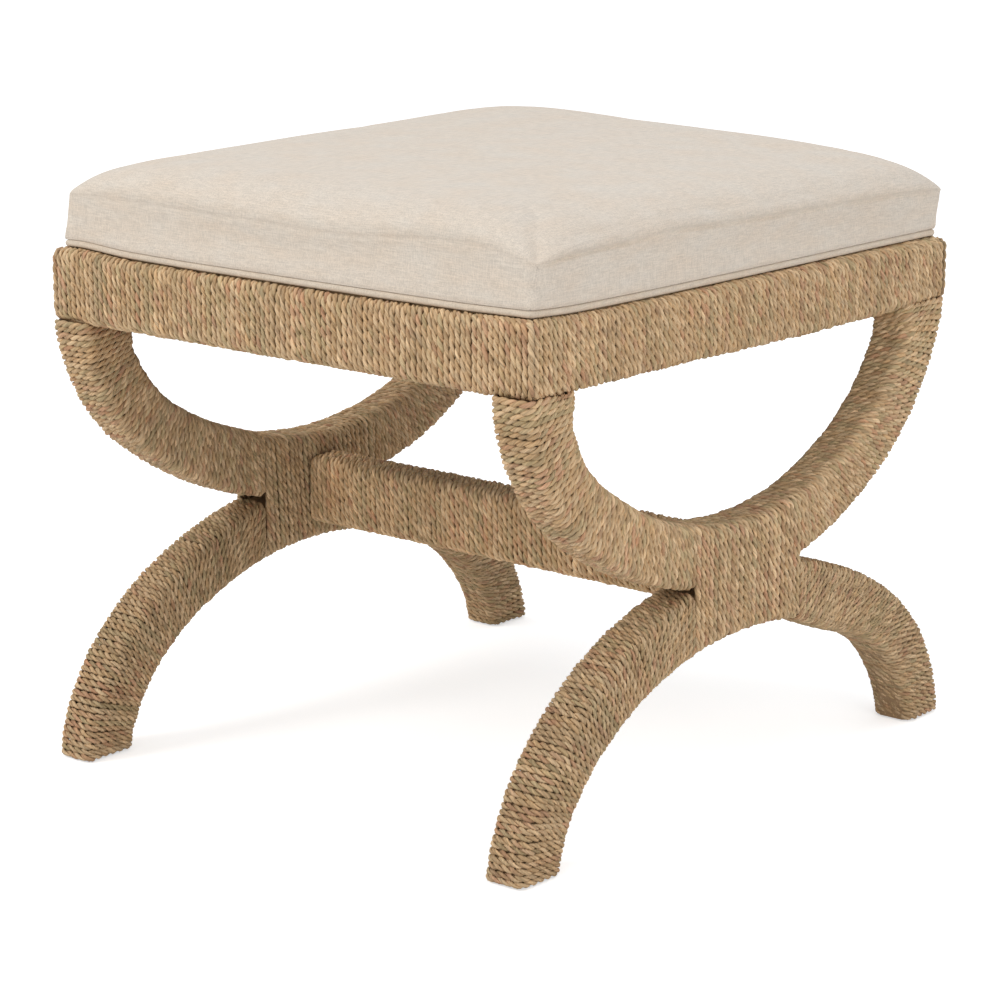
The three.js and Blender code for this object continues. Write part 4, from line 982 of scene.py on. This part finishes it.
top, rows = cushion_form(FINE_U, FINE_V, FINE_H)
move_top, move_rows = carried(*puffed())
loose_top, loose_rows = cushion_form(FINE_U, FINE_V, FINE_H, slack=SLACK)
top, rows = loose_top + move_top, loose_rows + move_rows
top, rows = sew_seam(top, rows)
low_z = np.array([top[i, j, 2] for i, j in boundary(len(FINE_U), len(FINE_V))])
cover = cushion_mesh("cushion_cover", top, rows, lining_rings(rows[-1], low_z))
finish_piece(cover, "linen", "linen", "seat_cover")

FOAM_H = np.linspace(1, 0.2, 6)[1:]
top, rows = cushion_form(shares_across(TOP_HALF[0], [0.0, 6.0, 14.0], 16.0),
                         shares_across(TOP_HALF[1], [0.0, 6.0, 14.0], 16.0), FOAM_H, skin=7.0)
base = rows[-1] * [1, 1, 0] + [0, 0, BOARD_TOP]
rows = list(rows[:-1]) + [base] + [base * [share, share, 1] for share in (0.8, 0.4, 0.001)]
foam = cushion_mesh("cushion_foam", top, rows)
finish_piece(foam, "foam", "foam", "seat_foam")


def closed_tube(name, centre_line, radius, sides=10):
    count = len(centre_line)
    after = np.roll(centre_line, -1, axis=0)
    before = np.roll(centre_line, 1, axis=0)
    tangent = after - before
    tangent /= np.linalg.norm(tangent, axis=1)[:, None]
    level = np.array([0.0, 0.0, 1.0])
    across = np.cross(tangent, level)
    across /= np.linalg.norm(across, axis=1)[:, None]
    angles = 2 * math.pi * np.arange(sides) / sides
    ring = (np.cos(angles)[None, :, None] * across[:, None, :]
            + np.sin(angles)[None, :, None] * level[None, None, :])
    verts = centre_line[:, None, :] + radius * ring
    i = np.arange(count)[:, None]
    j = np.arange(sides)
    quads = np.stack([i * sides + j, i * sides + (j + 1) % sides,
                      ((i + 1) % count) * sides + (j + 1) % sides, ((i + 1) % count) * sides + j], -1)
    return make_mesh(name, verts.reshape(-1, 3) * MM, quads.reshape(-1, 4)[:, ::-1])


WELT = 5.4
at = plan_ring(243.8 - WELT / 2, 267.8 - WELT / 2, 2.8, 80, 4)
welt_line = np.column_stack([at, RAIL_TOP + GAP + WELT / 2 + crown_at(at[:, 0], at[:, 1])])
welt = closed_tube("cushion_welt", welt_line, WELT / 2, 12)
finish_piece(welt, "welt", "welt", "seat_welt")

# ---------------------------------------------------------------- dust cover
low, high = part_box("dust_cover")
dust_half = ((high[0] - low[0]) / 2, (high[1] - low[1]) / 2)
xs = np.linspace(-dust_half[0], dust_half[0], 61)
ys = np.linspace(-dust_half[1], dust_half[1], 61)
gx, gy = np.meshgrid(xs, ys, indexing="ij")
edge = (1 - (gx / dust_half[0]) ** 2) * (1 - (gy / dust_half[1]) ** 2)
gz = low[2] + 0.0006 - 0.0012 * edge + 0.00015 * np.sin(gx * 90) * edge
grid = np.stack([gx, gy, gz], -1).reshape(-1, 3)
i, j = np.meshgrid(np.arange(60), np.arange(60), indexing="ij")
quads = np.stack([i * 61 + j, i * 61 + j + 1, (i + 1) * 61 + j + 1, (i + 1) * 61 + j], -1).reshape(-1, 4)
dust = make_mesh("dust_cloth", grid, quads)
finish_piece(dust, "cambric", "cambric", "dust_cover")

# ---------------------------------------------------------------- CAD nodes that stay
for name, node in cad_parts.items():
    slot = None
    for start, material in (("seat_board", "plywood"), ("corner_block", "hardwood"), ("rail_wrap", None),
                            ("rail_", "hardwood"), ("upper_arc", "hardwood"), ("lower_arc", "hardwood"),
                            ("stretcher_screw", "zinc"), ("stretcher_wrap", None), ("stretcher", "hardwood"),
                            ("block_screw", "zinc"), ("seat_screw", "zinc"), ("arm_dowel", "beech"),
                            ("hub_dowel", "beech"), ("glide", "nylon")):
        if name.startswith(start):
            slot = material
            break
    if slot:
        for index in range(len(node.material_slots)):
            node.material_slots[index].material = materials[slot]

# ---------------------------------------------------------------- floor, light
def stage_material():
    material, nodes, links, shader = node_material("floor")
    nodes.remove(shader)
    output = nodes["Material Output"]
    diffuse = nodes.new("ShaderNodeBsdfDiffuse")
    diffuse.inputs["Color"].default_value = (0.9, 0.9, 0.9, 1)
    glow = nodes.new("ShaderNodeEmission")
    glow.inputs["Color"].default_value = (1, 1, 1, 1)
    rays = nodes.new("ShaderNodeLightPath")
    strength = nodes.new("ShaderNodeMath")
    strength.operation = "MULTIPLY"
    strength.inputs[1].default_value = 0.55
    links.new(rays.outputs["Is Camera Ray"], strength.inputs[0])
    links.new(strength.outputs["Value"], glow.inputs["Strength"])
    add = nodes.new("ShaderNodeAddShader")
    links.new(diffuse.outputs["BSDF"], add.inputs[0])
    links.new(glow.outputs["Emission"], add.inputs[1])
    links.new(add.outputs["Shader"], output.inputs["Surface"])
    return material


floor_verts = np.array([[-60, -60, 0], [60, -60, 0], [60, 60, 0], [-60, 60, 0]], float)
floor = make_mesh("floor", floor_verts, np.array([[0, 1, 2, 3]]), smooth=False)
floor.data.materials.append(stage_material())

world = bpy.data.worlds.new("studio")
bpy.context.scene.world = world
world.use_nodes = True
nodes, links = world.node_tree.nodes, world.node_tree.links
background = nodes["Background"]
background.inputs["Color"].default_value = (1, 1, 1, 1)
rays = nodes.new("ShaderNodeLightPath")
seen = nodes.new("ShaderNodeMath")
seen.operation = "MAXIMUM"
links.new(rays.outputs["Is Camera Ray"], seen.inputs[0])
links.new(rays.outputs["Is Glossy Ray"], seen.inputs[1])
seen_2 = nodes.new("ShaderNodeMath")
seen_2.operation = "MAXIMUM"
links.new(seen.outputs["Value"], seen_2.inputs[0])
links.new(rays.outputs["Is Transmission Ray"], seen_2.inputs[1])
level = nodes.new("ShaderNodeMapRange")
level.inputs["To Min"].default_value = 0.62
level.inputs["To Max"].default_value = 1.0
links.new(seen_2.outputs["Value"], level.inputs["Value"])
links.new(level.outputs["Result"], background.inputs["Strength"])


def area_light(name, place, aim, size, power, colour=(1, 1, 1)):
    light = bpy.data.lights.new(name, "AREA")
    light.shape = "DISK"
    light.size = size
    light.energy = power
    light.color = colour
    obj = bpy.data.objects.new(name, light)
    obj.location = place
    obj.rotation_euler = (Vector(aim) - Vector(place)).to_track_quat("-Z", "Y").to_euler()
    bpy.context.scene.collection.objects.link(obj)
    return obj


area_light("key", (-1.6, -2.6, 2.6), (0, 0, 0.3), 1.6, 44.0, (1.0, 0.985, 0.96))
area_light("fill", (3.0, -0.8, 1.6), (0, 0, 0.3), 2.0, 21.0)
area_light("top", (0.2, 0.3, 3.2), (0, 0, 0.3), 2.0, 14.0, (0.90, 1.0, 1.14))

bpy.context.scene.view_settings.view_transform = "Standard"
